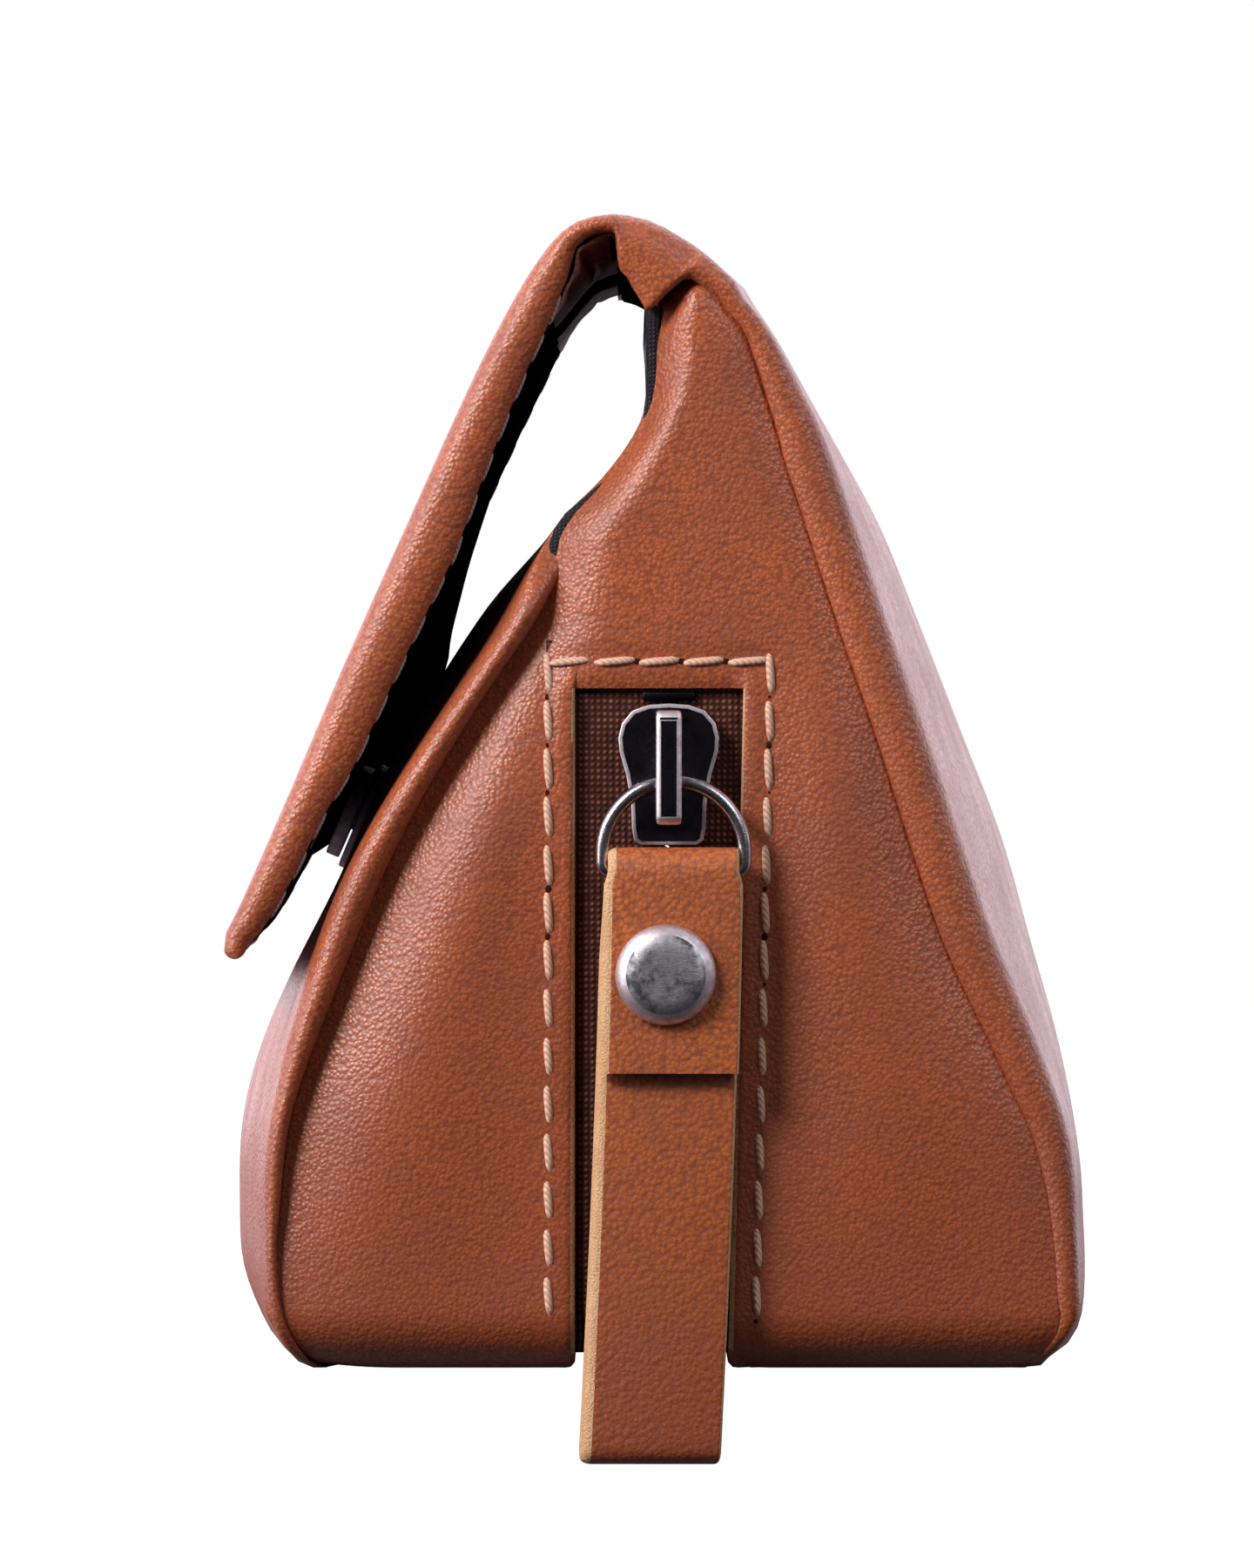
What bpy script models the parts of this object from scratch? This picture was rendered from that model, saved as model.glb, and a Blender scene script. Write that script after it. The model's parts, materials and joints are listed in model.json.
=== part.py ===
"""A leather pipe bag: two padded panels that meet at the top, two end panels with a zip that runs down
one end, under the base and up the other, a padded flap with a hidden snap, and a pull on the zip.

Metres, +Z up. Y runs along the bag, with the slider at its -Y end. The flap hangs on the -X side.
The shapes are written around the zip's line, and one empty carries that line to its place, so that
the origin lies in the middle of the base's back half."""

import math

import bmesh
import bpy
from mathutils import Matrix, Vector

BAG_LENGTH = 0.175
END_TOP = 0.112  # height of the end panels
FRONT_REACH = 0.0412  # from the zip's line out to the front seam
BACK_REACH = 0.0406
FRONT_BULGE = 0.0462  # reach of the front panel halfway along the bag
BACK_BULGE = 0.0450
FLAP_STAND_OFF = 0.0003  # how far the flap's edge reaches past the front panel
FLAP_ROOT_GAP = 0.0005  # from the back panel up to the flap

LEATHER = 0.0013
FOAM = 0.0020
LINING = 0.0005
BINDING = 0.0006
GAP = 0.0003  # between two pieces that touch on the real bag
SEAM_BAND = 0.0050  # how far a panel's turned edge stands outside its seam
CORNER_RADIUS = 0.0060  # where an end panel bends under the base
UNDER_BASE = 0.0020  # straight leather of an end panel under the base
FOAM_START = 0.0065  # height at which the padding starts
LINING_START = 0.0022
HEM_DEPTH = 0.0042  # how far the binding reaches down from the mouth
DIVIDER_HEIGHT = 0.0740
DIVIDER_SAG = 0.0015
DIVIDER_GAP = 0.0008

WINDOW_TOP = 0.0711  # of the opening in an end panel, where the zip shows
WINDOW_FRONT = 0.0098
WINDOW_BACK = 0.0078
WINDOW_BACK_LOW = 0.0062
TAPE = 0.0005
TAPE_HALF = 0.0128  # from the zip's line to a tape's outer edge
TAPE_RISE = 0.0050  # how far the tapes go on above the opening
ROW_INNER = 0.0008
ROW_OUTER = 0.0028
ROW_THICKNESS = 0.0022
TOOTH_PITCH = 0.0030
TOOTH_DEPTH = 0.0006
STOP_HEIGHT = 0.0010

SLIDER_TOP = 0.0695
SLIDER_LENGTH = 0.0148
SLIDER_HALF = 0.00525
SLIDER_PLATE = 0.0010
SLIDER_POST = 0.0010
SLIDER_POST_LENGTH = 0.0070
SLIDER_FLANGE_INSIDE = 0.0031
SLIDER_SLOT = 0.0011
BRIDGE_WIDTH = 0.0027
BRIDGE_RISE = 0.0021  # from the slider's lower end
BRIDGE_LENGTH = 0.0120
BRIDGE_FOOT = 0.0035
BRIDGE_BAR = 0.0012

RING_WIRE = 0.0015
RING_HALF = 0.0074  # to the middle of the wire
RING_LEG = 0.0010
RING_CORNER = 0.0010
STRAP = 0.0015
STRAP_WIDTH = 0.0148
STRAP_REACH = 0.0618  # from the ring's bar down to the fold at the strap's end
STRAP_LEAN = 0.0021  # how far the hanging end leans to the front
TAB_REACH = 0.0210  # from the ring's bar down to the tab's cut end
STRAP_SIDE_GAP = 0.0007  # from the strap to the end panel
RIVET_REACH = 0.0107  # from the ring's bar down to the rivet
RIVET_RADIUS = 0.00525
RIVET_EDGE = 0.0007
RIVET_DOME = 0.0013
POST_RADIUS = 0.0018
BACK_CAP_RADIUS = 0.0040
BACK_CAP = 0.0007

SNAP_ABOVE_EDGE = 0.0193  # from the flap's edge up to the snap, along the flap
MAGNET_RADIUS = 0.0052
MAGNET = 0.0015
STUD_RADIUS = 0.0060
STUD_LEAST = 0.0004  # the stud takes up the room between the front panel and the magnet
NIB_RADIUS = 0.0018
NIB = 0.0008
SHANK_RADIUS = 0.0012
WASHER_RADIUS = 0.0055
WASHER = 0.0006
SNAP_SEAT = 0.0004  # from a snap's disc to the leather or lining that it sits on
OVERRUN = 0.0020  # how far a cutter passes the piece it cuts

# Heights as shares of END_TOP, reaches as shares of the reach that each list is used with.
FRONT_SEAM_SHARES = (
    (0, 0.94), (0.055, 1), (0.143, 0.985), (0.241, 0.95), (0.364, 0.82), (0.456, 0.723), (0.535, 0.614),
    (0.63, 0.456), (0.7, 0.33), (0.789, 0.204), (0.8375, 0.107), (0.887, 0.036), (1, 0.024),
)
BACK_SEAM_SHARES = (
    (0, 0.955), (0.034, 1), (0.098, 0.998), (0.188, 0.963), (0.272, 0.874), (0.368, 0.751), (0.458, 0.653),
    (0.59, 0.53), (0.691, 0.433), (0.784, 0.35), (0.895, 0.251), (0.968, 0.185), (1, 0.125),
)
FRONT_BULGE_SHARES = (
    (0, 0.88), (0.04, 0.944), (0.0875, 0.991), (0.152, 1), (0.223, 0.9935), (0.29, 0.9545), (0.364, 0.879),
    (0.455, 0.762), (0.536, 0.668), (0.625, 0.585), (0.714, 0.483), (0.8, 0.33), (0.866, 0.173), (0.93, 0.087),
    (1, 0.06),
)
BACK_BULGE_SHARES = (
    (0, 0.93), (0.02, 0.985), (0.054, 1), (0.0875, 1), (0.189, 0.982), (0.29, 0.9355), (0.392, 0.869),
    (0.494, 0.802), (0.5955, 0.707), (0.697, 0.602), (0.799, 0.498), (0.9, 0.3555), (0.968, 0.26), (1, 0.211),
)
FRONT_BAND_SHARES = ((0, 0.45), (0.04, 0.8), (0.12, 1), (0.69, 1.1), (0.79, 0.7), (0.86, 0.45), (1, 0.42))
BACK_BAND_SHARES = ((0, 0.45), (0.04, 0.85), (0.1, 1), (0.9, 1), (1, 0.88))
BULGE_POWER = 2.6  # how flat the bulge is along the bag

# The flap's outer line from the hinge to its edge: shares of FLAP_REACH and of END_TOP.
FLAP_SHARES = (
    (0.189, 1.0125), (0.145, 1.0265), (0.045, 1.0515), (-0.045, 1.0715), (-0.133, 1.0768), (-0.22, 1.067),
    (-0.29, 1.036), (-0.366, 0.984), (-0.445, 0.919), (-0.587, 0.789), (-0.727, 0.659), (-0.86, 0.5295),
    (-0.963, 0.432), (-1, 0.399), (-0.992, 0.38),
)
FRONT_FOAM_SHARE = 0.78  # height at which the front's padding ends
BACK_FOAM_SHARE = 0.92
# How deep the flap's turned ends are along it, from the hinge to the edge: shares of SEAM_BAND.
FLAP_DEPTH_SHARES = (
    (0, 0.35), (0.025, 0.45), (0.05, 0.7), (0.09, 0.75), (0.14, 0.6), (0.19, 0.6), (0.27, 0.95), (0.8, 0.9),
    (1, 0.48),
)
FLAP_FOAM_SHARES = (0.23, 0.89)  # where the flap's padding starts and ends along it
FLAP_LINING_SHARES = (0.035, 0.985)
FLAP_LINING_FADE_SHARE = 0.06  # how far past the padding the lining comes up to the leather

PANEL_ROW_SHARES = (0, 0.03, 0.06, 0.1, 0.16, 0.24, 0.33, 0.42, 0.52, 0.62, 0.71, 0.8, 0.87, 0.94, 1)
HEM_COLUMNS = 8
PANEL_INNER_COLUMNS = 7
TURN_STEPS = 2
FLAP_ROWS = 22
CORNER_STEPS = 4
SMALL_ROUND = 24

# The slider's outline from its narrow lower end up one side: shares of SLIDER_HALF and SLIDER_LENGTH.
SLIDER_SHARES = (
    (0.56, 0), (0.69, 0.035), (0.73, 0.12), (0.75, 0.3), (0.85, 0.5), (0.98, 0.66), (1, 0.76), (0.93, 0.86),
    (0.72, 0.95), (0.4, 0.99), (0, 1),
)

FLAP_REACH = FRONT_BULGE + FLAP_STAND_OFF
half_length = BAG_LENGTH / 2
stack = LEATHER + GAP + FOAM + GAP + LINING
tape_depth = LEATHER + GAP
turn_radius = LEATHER + GAP  # of a panel's turned edge
chain_depth = tape_depth + TAPE / 2  # from an end panel's face to the middle of the tape
channel_half = ROW_THICKNESS / 2 + GAP
slider_bottom = SLIDER_TOP - SLIDER_LENGTH
chain_y = -half_length + chain_depth
slider_front = chain_y - channel_half - SLIDER_PLATE
slider_back = chain_y + channel_half + SLIDER_PLATE
fold_inside = RING_WIRE / 2 + GAP
fold_middle = fold_inside + STRAP / 2
ring_y = -half_length - STRAP_SIDE_GAP - fold_inside - STRAP
bridge_bottom = slider_bottom + BRIDGE_RISE
ring_top = bridge_bottom + BRIDGE_FOOT + GAP + RING_WIRE / 2
ring_bar = ring_top - RING_HALF - RING_LEG - RING_CORNER
origin_x = (WINDOW_BACK_LOW + BACK_REACH * BACK_SEAM_SHARES[0][1]) / 2


def clear_scene():
    for thing in list(bpy.data.objects):
        bpy.data.objects.remove(thing, do_unlink=True)


def new_collection(name):
    collection = bpy.data.collections.new(name)
    bpy.context.scene.collection.children.link(collection)
    return collection


def finish(name, colour, roughness, metallic=0.0):
    material = bpy.data.materials.new(name)
    material.use_nodes = True
    shader = material.node_tree.nodes["Principled BSDF"]
    shader.inputs["Base Color"].default_value = (*colour, 1.0)
    shader.inputs["Roughness"].default_value = roughness
    shader.inputs["Metallic"].default_value = metallic
    return material


def through(table, at):
    """A smooth curve through the points of a table, read at one place."""
    last = len(table) - 1
    at = min(max(at, table[0][0]), table[last][0])
    i = max(k for k in range(last) if table[k][0] <= at)

    def slope(k):
        before = max(k - 1, 0)
        after = min(k + 1, last)
        return (table[after][1] - table[before][1]) / (table[after][0] - table[before][0])

    width = table[i + 1][0] - table[i][0]
    t = (at - table[i][0]) / width
    start, end = table[i][1], table[i + 1][1]
    rise, fall = slope(i) * width, slope(i + 1) * width
    return (
        start * (2 * t**3 - 3 * t**2 + 1)
        + end * (3 * t**2 - 2 * t**3)
        + rise * (t**3 - 2 * t**2 + t)
        + fall * (t**3 - t**2)
    )


def seam_x(side, z):
    """The seam between an end panel and the front (-1) or back (+1) panel."""
    if side < 0:
        return -FRONT_REACH * through(FRONT_SEAM_SHARES, z / END_TOP)
    return BACK_REACH * through(BACK_SEAM_SHARES, z / END_TOP)


def band(side, z):
    return SEAM_BAND * through(FRONT_BAND_SHARES if side < 0 else BACK_BAND_SHARES, z / END_TOP)


def half_length_at(z):
    """Half the bag's length at a height: the lower corners are round."""
    rest = CORNER_RADIUS - min(z, CORNER_RADIUS)
    return half_length - CORNER_RADIUS + math.sqrt(CORNER_RADIUS**2 - rest**2)


def skin_x(side, z, y):
    """The outer face of the front (-1) or back (+1) panel."""
    z = min(max(z, 0), END_TOP)
    end = seam_x(side, z) + side * band(side, z)
    if side < 0:
        middle = -FRONT_BULGE * through(FRONT_BULGE_SHARES, z / END_TOP)
    else:
        middle = BACK_BULGE * through(BACK_BULGE_SHARES, z / END_TOP)
    share = 1 - min(abs(y) / half_length, 1) ** BULGE_POWER
    return end + (middle - end) * share


def skin_slope(side, z, y):
    step = LEATHER
    low, high = max(z - step, 0), min(z + step, END_TOP)
    return (skin_x(side, high, y) - skin_x(side, low, y)) / (high - low)


def skin_point(side, z, y, depth):
    """A point under the outer face, square to it."""
    slope = skin_slope(side, z, y)
    long = math.hypot(1, slope)
    inward = Vector((-side, 0, side * slope)) / long
    return Vector((skin_x(side, z, y), y, z)) + inward * depth


def inner_x(side, z, y, depth):
    """Where the face at this depth crosses a height."""
    return skin_x(side, z, y) - side * depth * math.hypot(1, skin_slope(side, z, y))


class Bench:
    """Makes objects in the bag's collection, each with its own material."""

    def __init__(self):
        self.parts = new_collection("pipe_bag")
        self.cutters = new_collection("pipe_bag_cutters")
        self.origin = self.empty("bag_origin", Vector((-origin_x, 0, 0)))
        self.flap = self.empty("flap_hinge_axis", flap_hinge(), self.origin)
        self.slider = self.empty("zip_slide_axis", Vector((0, chain_y, ring_top)), self.origin)
        self.ring = self.empty("ring_swing_axis", Vector((0, ring_y, ring_top)), self.slider)
        self.strap = self.empty("strap_swing_axis", Vector((0, ring_y, ring_bar)), self.ring)

    def empty(self, name, place, parent=None):
        """An empty at a place that is given from the zip's line on the floor."""
        made = bpy.data.objects.new(name, None)
        self.parts.objects.link(made)
        made["place"] = tuple(place)
        made.parent = parent
        made.location = place
        if parent is not None and parent is not self.origin:
            made.location = place - Vector(parent["place"])
        return made

    def carry(self, part, carrier, material):
        part.parent = carrier
        if carrier is not self.origin:
            part.matrix_parent_inverse = Matrix.Translation(-Vector(carrier["place"]))
        if material is not None:
            part.data.materials.clear()
            part.data.materials.append(material)
        return part

    def mesh(self, name, bm, carrier, material, matrix=None):
        data = bpy.data.meshes.new(name)
        bm.to_mesh(data)
        bm.free()
        part = bpy.data.objects.new(name, data)
        self.parts.objects.link(part)
        if matrix is not None:
            part.matrix_basis = matrix
        return self.carry(part, carrier, material)

    def sheet(self, name, columns, rows, place, thickness, grow, carrier, material, left_out=None):
        """A grid whose points are put in place one by one, and given its thickness by Solidify."""
        bm = bmesh.new()
        bmesh.ops.create_grid(bm, x_segments=columns - 1, y_segments=rows - 1, size=1)
        spot = {
            v: (round((v.co.x + 1) / 2 * (columns - 1)), round((v.co.y + 1) / 2 * (rows - 1)))
            for v in bm.verts
        }
        if left_out is not None:
            gone = [
                face for face in bm.faces
                if left_out(min(spot[v][0] for v in face.verts), min(spot[v][1] for v in face.verts))
            ]
            bmesh.ops.delete(bm, geom=gone, context="FACES")
        for v in bm.verts:
            v.co = place(*spot[v])
        part = self.mesh(name, bm, carrier, material)
        wall = part.modifiers.new("thickness", "SOLIDIFY")
        wall.thickness = thickness
        wall.offset = grow
        wall.use_even_offset = True
        return part

    def plate(self, name, outline, thickness, carrier, material, matrix):
        """A flat outline with a thickness, made a mesh with its caps welded."""
        curve = bpy.data.curves.new(name + "_outline", "CURVE")
        curve.dimensions = "2D"
        curve.fill_mode = "BOTH"
        curve.extrude = thickness / 2
        spline = curve.splines.new("POLY")
        spline.points.add(len(outline) - 1)
        for point, (x, y) in zip(spline.points, outline):
            point.co = (x, y, 0, 1)
        spline.use_cyclic_u = True
        guide = bpy.data.objects.new(name + "_outline", curve)
        self.parts.objects.link(guide)
        bpy.context.view_layer.update()
        shape = guide.evaluated_get(bpy.context.evaluated_depsgraph_get())
        data = bpy.data.meshes.new_from_object(shape)
        bm = bmesh.new()
        bm.from_mesh(data)
        bmesh.ops.remove_doubles(bm, verts=bm.verts, dist=GAP / len(outline))
        bmesh.ops.recalc_face_normals(bm, faces=bm.faces)
        bpy.data.objects.remove(guide)
        return self.mesh(name, bm, carrier, material, matrix)

    def rod(self, name, radius, start, end, carrier, material):
        """A straight round bar between two points."""
        along = end - start
        bm = bmesh.new()
        bmesh.ops.create_cone(
            bm, cap_ends=True, segments=SMALL_ROUND, radius1=radius, radius2=radius, depth=along.length
        )
        turn = Vector((0, 0, 1)).rotation_difference(along).to_matrix().to_4x4()
        return self.mesh(name, bm, carrier, material, Matrix.Translation((start + end) / 2) @ turn)

    def block(self, name, low, high, carrier, material):
        bm = bmesh.new()
        bmesh.ops.create_cube(bm, size=1)
        bmesh.ops.scale(bm, vec=high - low, verts=bm.verts)
        bmesh.ops.translate(bm, vec=(low + high) / 2, verts=bm.verts)
        return self.mesh(name, bm, carrier, material)

    def turned(self, name, profile, carrier, material, matrix):
        """A profile of (radius, height) points, from the axis at the top round to the axis below."""
        bm = bmesh.new()
        made = [bm.verts.new((radius, 0, height)) for radius, height in profile]
        for before, after in zip(made, made[1:]):
            bm.edges.new((before, after))
        part = self.mesh(name, bm, carrier, material, matrix)
        screw = part.modifiers.new("turn", "SCREW")
        screw.steps = SMALL_ROUND
        screw.render_steps = SMALL_ROUND
        screw.use_merge_vertices = True
        screw.merge_threshold = GAP / SMALL_ROUND
        return part

    def cut(self, part, cutter):
        for collection in list(cutter.users_collection):
            collection.objects.unlink(cutter)
        self.cutters.objects.link(cutter)
        cutter.hide_render = True
        cutter.display_type = "WIRE"
        cut = part.modifiers.new(cutter.name, "BOOLEAN")
        cut.object = cutter
        cut.operation = "DIFFERENCE"


def flap_hinge():
    """On the outer face, where the back panel ends and the flap starts."""
    return Vector((skin_x(1, END_TOP, half_length), 0, END_TOP + FLAP_ROOT_GAP))


def flap_line():
    """Points along the flap's outer face, evenly spaced from the hinge to the edge, as (x, z)."""
    hinge = flap_hinge()
    points = [(hinge.x, hinge.z)] + [(x * FLAP_REACH, z * END_TOP) for x, z in FLAP_SHARES]
    lengths = [0]
    for before, after in zip(points, points[1:]):
        lengths.append(lengths[-1] + math.dist(before, after))
    xs = [(length, x) for length, (x, _) in zip(lengths, points)]
    zs = [(length, z) for length, (_, z) in zip(lengths, points)]

    def at(share):
        return through(xs, share * lengths[-1]), through(zs, share * lengths[-1])

    return at, lengths[-1]


def flap_point(line, share, y, depth):
    step = 1 / (FLAP_ROWS * 2)
    x, z = line(share)
    x0, z0 = line(max(share - step, 0))
    x1, z1 = line(min(share + step, 1))
    along = Vector((x1 - x0, 0, z1 - z0)).normalized()
    inward = Vector((-along.z, 0, along.x))
    return Vector((x, y, z)) + inward * depth


def flap_lining_depth(share):
    """From the flap's outer face in to its lining, which comes up to the leather past the padding."""
    start, end = FLAP_FOAM_SHARES
    past = max(start - share, share - end, 0)
    padded = 1 - min(past / FLAP_LINING_FADE_SHARE, 1)
    return LEATHER + GAP + (FOAM + GAP) * padded


def flap_rows(span):
    """The flap's rows between two shares. Its layers share them, so that they lie evenly on each other."""
    ends = {*FLAP_FOAM_SHARES, *FLAP_LINING_SHARES, *span}
    apart = 1 / FLAP_ROWS / 2
    even = {i / FLAP_ROWS for i in range(FLAP_ROWS + 1)}
    even = {share for share in even if all(abs(share - end) > apart for end in ends)}
    return sorted(share for share in even | ends if span[0] <= share <= span[1])


def turned_columns(count):
    """Columns across a panel: (share of its half length, share of the turn), with a round turned edge."""
    edge = [(-1, "edge")]
    turn = [(-1, i / TURN_STEPS) for i in range(TURN_STEPS + 1)]
    flat = [(-1 + 2 * (i + 1) / (count + 1), None) for i in range(count)]
    back = [(1, share) for _, share in reversed(turn)]
    return edge + turn + flat + back + [(1, "edge")]


def turned_place(column, half, edge_depth):
    """The (y, depth) of one column on a panel with turned edges."""
    side, turn = column
    if turn is None:
        return side * (half - turn_radius), 0
    if turn == "edge":
        return side * half, max(edge_depth, turn_radius + GAP)
    angle = turn * math.pi / 2
    return side * (half - turn_radius * (1 - math.cos(angle))), turn_radius * (1 - math.sin(angle))


def panel_top(side):
    return END_TOP - (BINDING + GAP if side < 0 else 0)


def panel(bench, side, name, material):
    """The outer leather of the front or back, with its ends turned in as far as the seam."""
    columns = turned_columns(PANEL_INNER_COLUMNS)
    rows = layer_rows(0, panel_top(side))

    def place(i, j):
        z = rows[j]
        half = half_length_at(z)
        edge_depth = band(side, z) / math.hypot(1, skin_slope(side, z, half))
        y, depth = turned_place(columns[i], half, edge_depth)
        return skin_point(side, z, y, depth)

    return bench.sheet(name, len(columns), len(rows), place, LEATHER, -side, bench.origin, material)


def layer_rows(low, high):
    """The panel's own rows between two heights, so that its layers lie evenly on each other."""
    between = [share * END_TOP for share in PANEL_ROW_SHARES]
    between = [z for z in between if low + GAP < z < high - GAP]
    return [low] + between + [high]


def layer_sheet(bench, side, name, rows, depth_at, thickness, material):
    columns = [-1] + [share for share, turn in turned_columns(PANEL_INNER_COLUMNS) if turn is None] + [1]

    def place(i, j):
        z = rows[j]
        return skin_point(side, z, columns[i] * (half_length_at(z) - turn_radius), depth_at(z))

    return bench.sheet(name, len(columns), len(rows), place, thickness, -side, bench.origin, material)


def foam_layer(bench, side, name, top, material):
    """The padding inside a panel."""
    rows = layer_rows(FOAM_START, top)
    return layer_sheet(bench, side, name, rows, lambda z: LEATHER + GAP, FOAM, material)


def lining_layer(bench, side, name, foam_top, top, material):
    """The lining, which on the front comes up against the leather above the padding."""
    fade_start, fade_end = foam_top + GAP * 2, foam_top + HEM_DEPTH

    def depth_at(z):
        fade = max(min((z - fade_start) / (fade_end - fade_start), 1), 0) if side < 0 else 0
        return LEATHER + GAP + (FOAM + GAP) * (1 - fade)

    rows = layer_rows(LINING_START, top)
    if side < 0:
        rows = sorted(rows + [fade_start, fade_end])
    return layer_sheet(bench, side, name, rows, depth_at, LINING, material)


def hem(bench, material):
    """The binding folded over the front panel's top edge, which is the pocket's mouth."""
    low = END_TOP - HEM_DEPTH
    high = END_TOP - BINDING
    outside = -GAP
    inside = LEATHER + GAP + LINING + GAP
    path = ((low, outside), (high, outside), (high, inside), (low, inside))

    def place(i, j):
        z, depth = path[j]
        y = (-1 + 2 * i / HEM_COLUMNS) * (half_length - turn_radius)
        x = skin_x(-1, low if depth < 0 else high, y) + depth
        return Vector((x + (GAP if depth > 0 else 0), y, z))

    return bench.sheet(
        "mouth_hem", HEM_COLUMNS + 1, len(path), place, BINDING, -1, bench.origin, material
    )


def end_path(rise):
    """(y, z, depth direction) rows of the near end panel, from under the base up to its top."""
    rows = [(-half_length + CORNER_RADIUS + UNDER_BASE, 0)]
    for i in range(CORNER_STEPS + 1):
        angle = math.pi / 2 * (1 - i / CORNER_STEPS)
        rows.append((
            -half_length + CORNER_RADIUS * (1 - math.cos(angle)),
            CORNER_RADIUS * (1 - math.sin(angle)),
        ))
    return rows + [(-half_length, z) for z in rise]


def window_x(side, z):
    if side < 0:
        return -WINDOW_FRONT
    share = min(z / WINDOW_TOP, 1)
    return WINDOW_BACK_LOW + (WINDOW_BACK - WINDOW_BACK_LOW) * share


def end_panel(bench, end, name, material):
    """An end panel, open below WINDOW_TOP for the zip, which bends under the base."""
    low_rise = [CORNER_RADIUS + (WINDOW_TOP - CORNER_RADIUS) * i / 8 for i in range(1, 9)]
    high_rise = [WINDOW_TOP + (END_TOP - WINDOW_TOP) * i / 6 for i in range(1, 7)]
    rows = end_path(low_rise + high_rise)
    low_rows = len(rows) - len(high_rise)
    side_shares = (0, 0.4, 0.75, 1)

    def place(i, j):
        y, z = rows[j]
        side = -1 if i < len(side_shares) else 1
        share = side_shares[i] if side < 0 else side_shares[2 * len(side_shares) - 1 - i]
        edge = seam_x(side, z) - side * GAP
        return Vector((edge + (window_for(side, z) - edge) * share, end * y, z))

    def window_for(side, z):
        high = max(z - WINDOW_TOP, 0) / (END_TOP - WINDOW_TOP)
        middle = (seam_x(-1, z) + seam_x(1, z)) / 2
        reach = (seam_x(1, z) - seam_x(-1, z)) / len(side_shares) / 2
        return window_x(side, z) * (1 - high) + (middle + side * reach) * high

    def in_window(i, j):
        return i == len(side_shares) - 1 and j < low_rows - 1

    return bench.sheet(
        name, 2 * len(side_shares), len(rows), place, LEATHER, -end, bench.origin, material, in_window
    )


def base_half(bench, side, name, material):
    """One side of the base, between the two end panels."""
    long = half_length - CORNER_RADIUS - UNDER_BASE - GAP
    inner = window_x(side, 0)
    outer = seam_x(side, 0) - side * GAP
    low = Vector((min(inner, outer), -long, 0))
    high = Vector((max(inner, outer), long, LEATHER))
    return bench.block(name, low, high, bench.origin, material)


def zip_path(depth, top, step):
    """(y, z) down the near end, under the base and up the far end, at a depth inside the leather."""
    y = half_length - depth
    radius = CORNER_RADIUS - depth
    side_steps = max(round((top - CORNER_RADIUS) / step), 1)
    base_steps = max(round(2 * (half_length - CORNER_RADIUS) / step), 1)
    down = [
        (-y, CORNER_RADIUS + (top - CORNER_RADIUS) * (1 - i / side_steps)) for i in range(side_steps)
    ]
    corner = []
    for i in range(CORNER_STEPS + 1):
        angle = math.pi / 2 * i / CORNER_STEPS
        corner.append((
            -half_length + CORNER_RADIUS - radius * math.cos(angle),
            CORNER_RADIUS - radius * math.sin(angle),
        ))
    straight = half_length - CORNER_RADIUS
    under = [(-straight + 2 * straight * i / base_steps, depth) for i in range(1, base_steps)]
    near = down + corner
    return near + under + [(-y, z) for y, z in reversed(near)]


def zip_tape(bench, side, name, material):
    path = zip_path(tape_depth, WINDOW_TOP + TAPE_RISE, CORNER_RADIUS * 2)
    edges = sorted((side * (ROW_OUTER + GAP), side * TAPE_HALF))

    def place(i, j):
        return Vector((edges[i], *path[j]))

    return bench.sheet(name, 2, len(path), place, TAPE, 1, bench.origin, material)


def zip_teeth(bench, side, name, material):
    """One row of teeth, as a bar whose inner edge goes in and out."""
    path = zip_path(chain_depth, WINDOW_TOP - GAP - STOP_HEIGHT - GAP, TOOTH_PITCH / 2)
    last = 1 if side > 0 else 0

    def place(i, j):
        inner = ROW_INNER + TOOTH_DEPTH * (j % 2)
        reach = inner if i != last else ROW_OUTER
        return Vector((side * reach, *path[j]))

    return bench.sheet(name, 2, len(path), place, ROW_THICKNESS, 0, bench.origin, material)


def zip_stop(bench, end, name, material):
    low = WINDOW_TOP - GAP - STOP_HEIGHT
    middle = -end * (half_length - chain_depth)
    return bench.block(
        name,
        Vector((-ROW_OUTER, middle - ROW_THICKNESS / 2, low)),
        Vector((ROW_OUTER, middle + ROW_THICKNESS / 2, low + STOP_HEIGHT)),
        bench.origin,
        material,
    )


def divider(bench, material):
    """The floor between the pocket under the flap and the pipes, stitched above the zip."""
    rows, columns = 8, 6
    long = half_length - tape_depth - TAPE - GAP

    def place(i, j):
        y = (-1 + 2 * j / rows) * long
        front = inner_x(-1, DIVIDER_HEIGHT, y, stack + DIVIDER_GAP)
        back = inner_x(1, DIVIDER_HEIGHT, y, stack + DIVIDER_GAP)
        share = i / columns
        sag = DIVIDER_SAG * math.sin(math.pi * share)
        return Vector((front + (back - front) * share, y, DIVIDER_HEIGHT - sag))

    return bench.sheet(
        "compartment_divider", columns + 1, rows + 1, place, LINING, 1, bench.origin, material
    )


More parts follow.
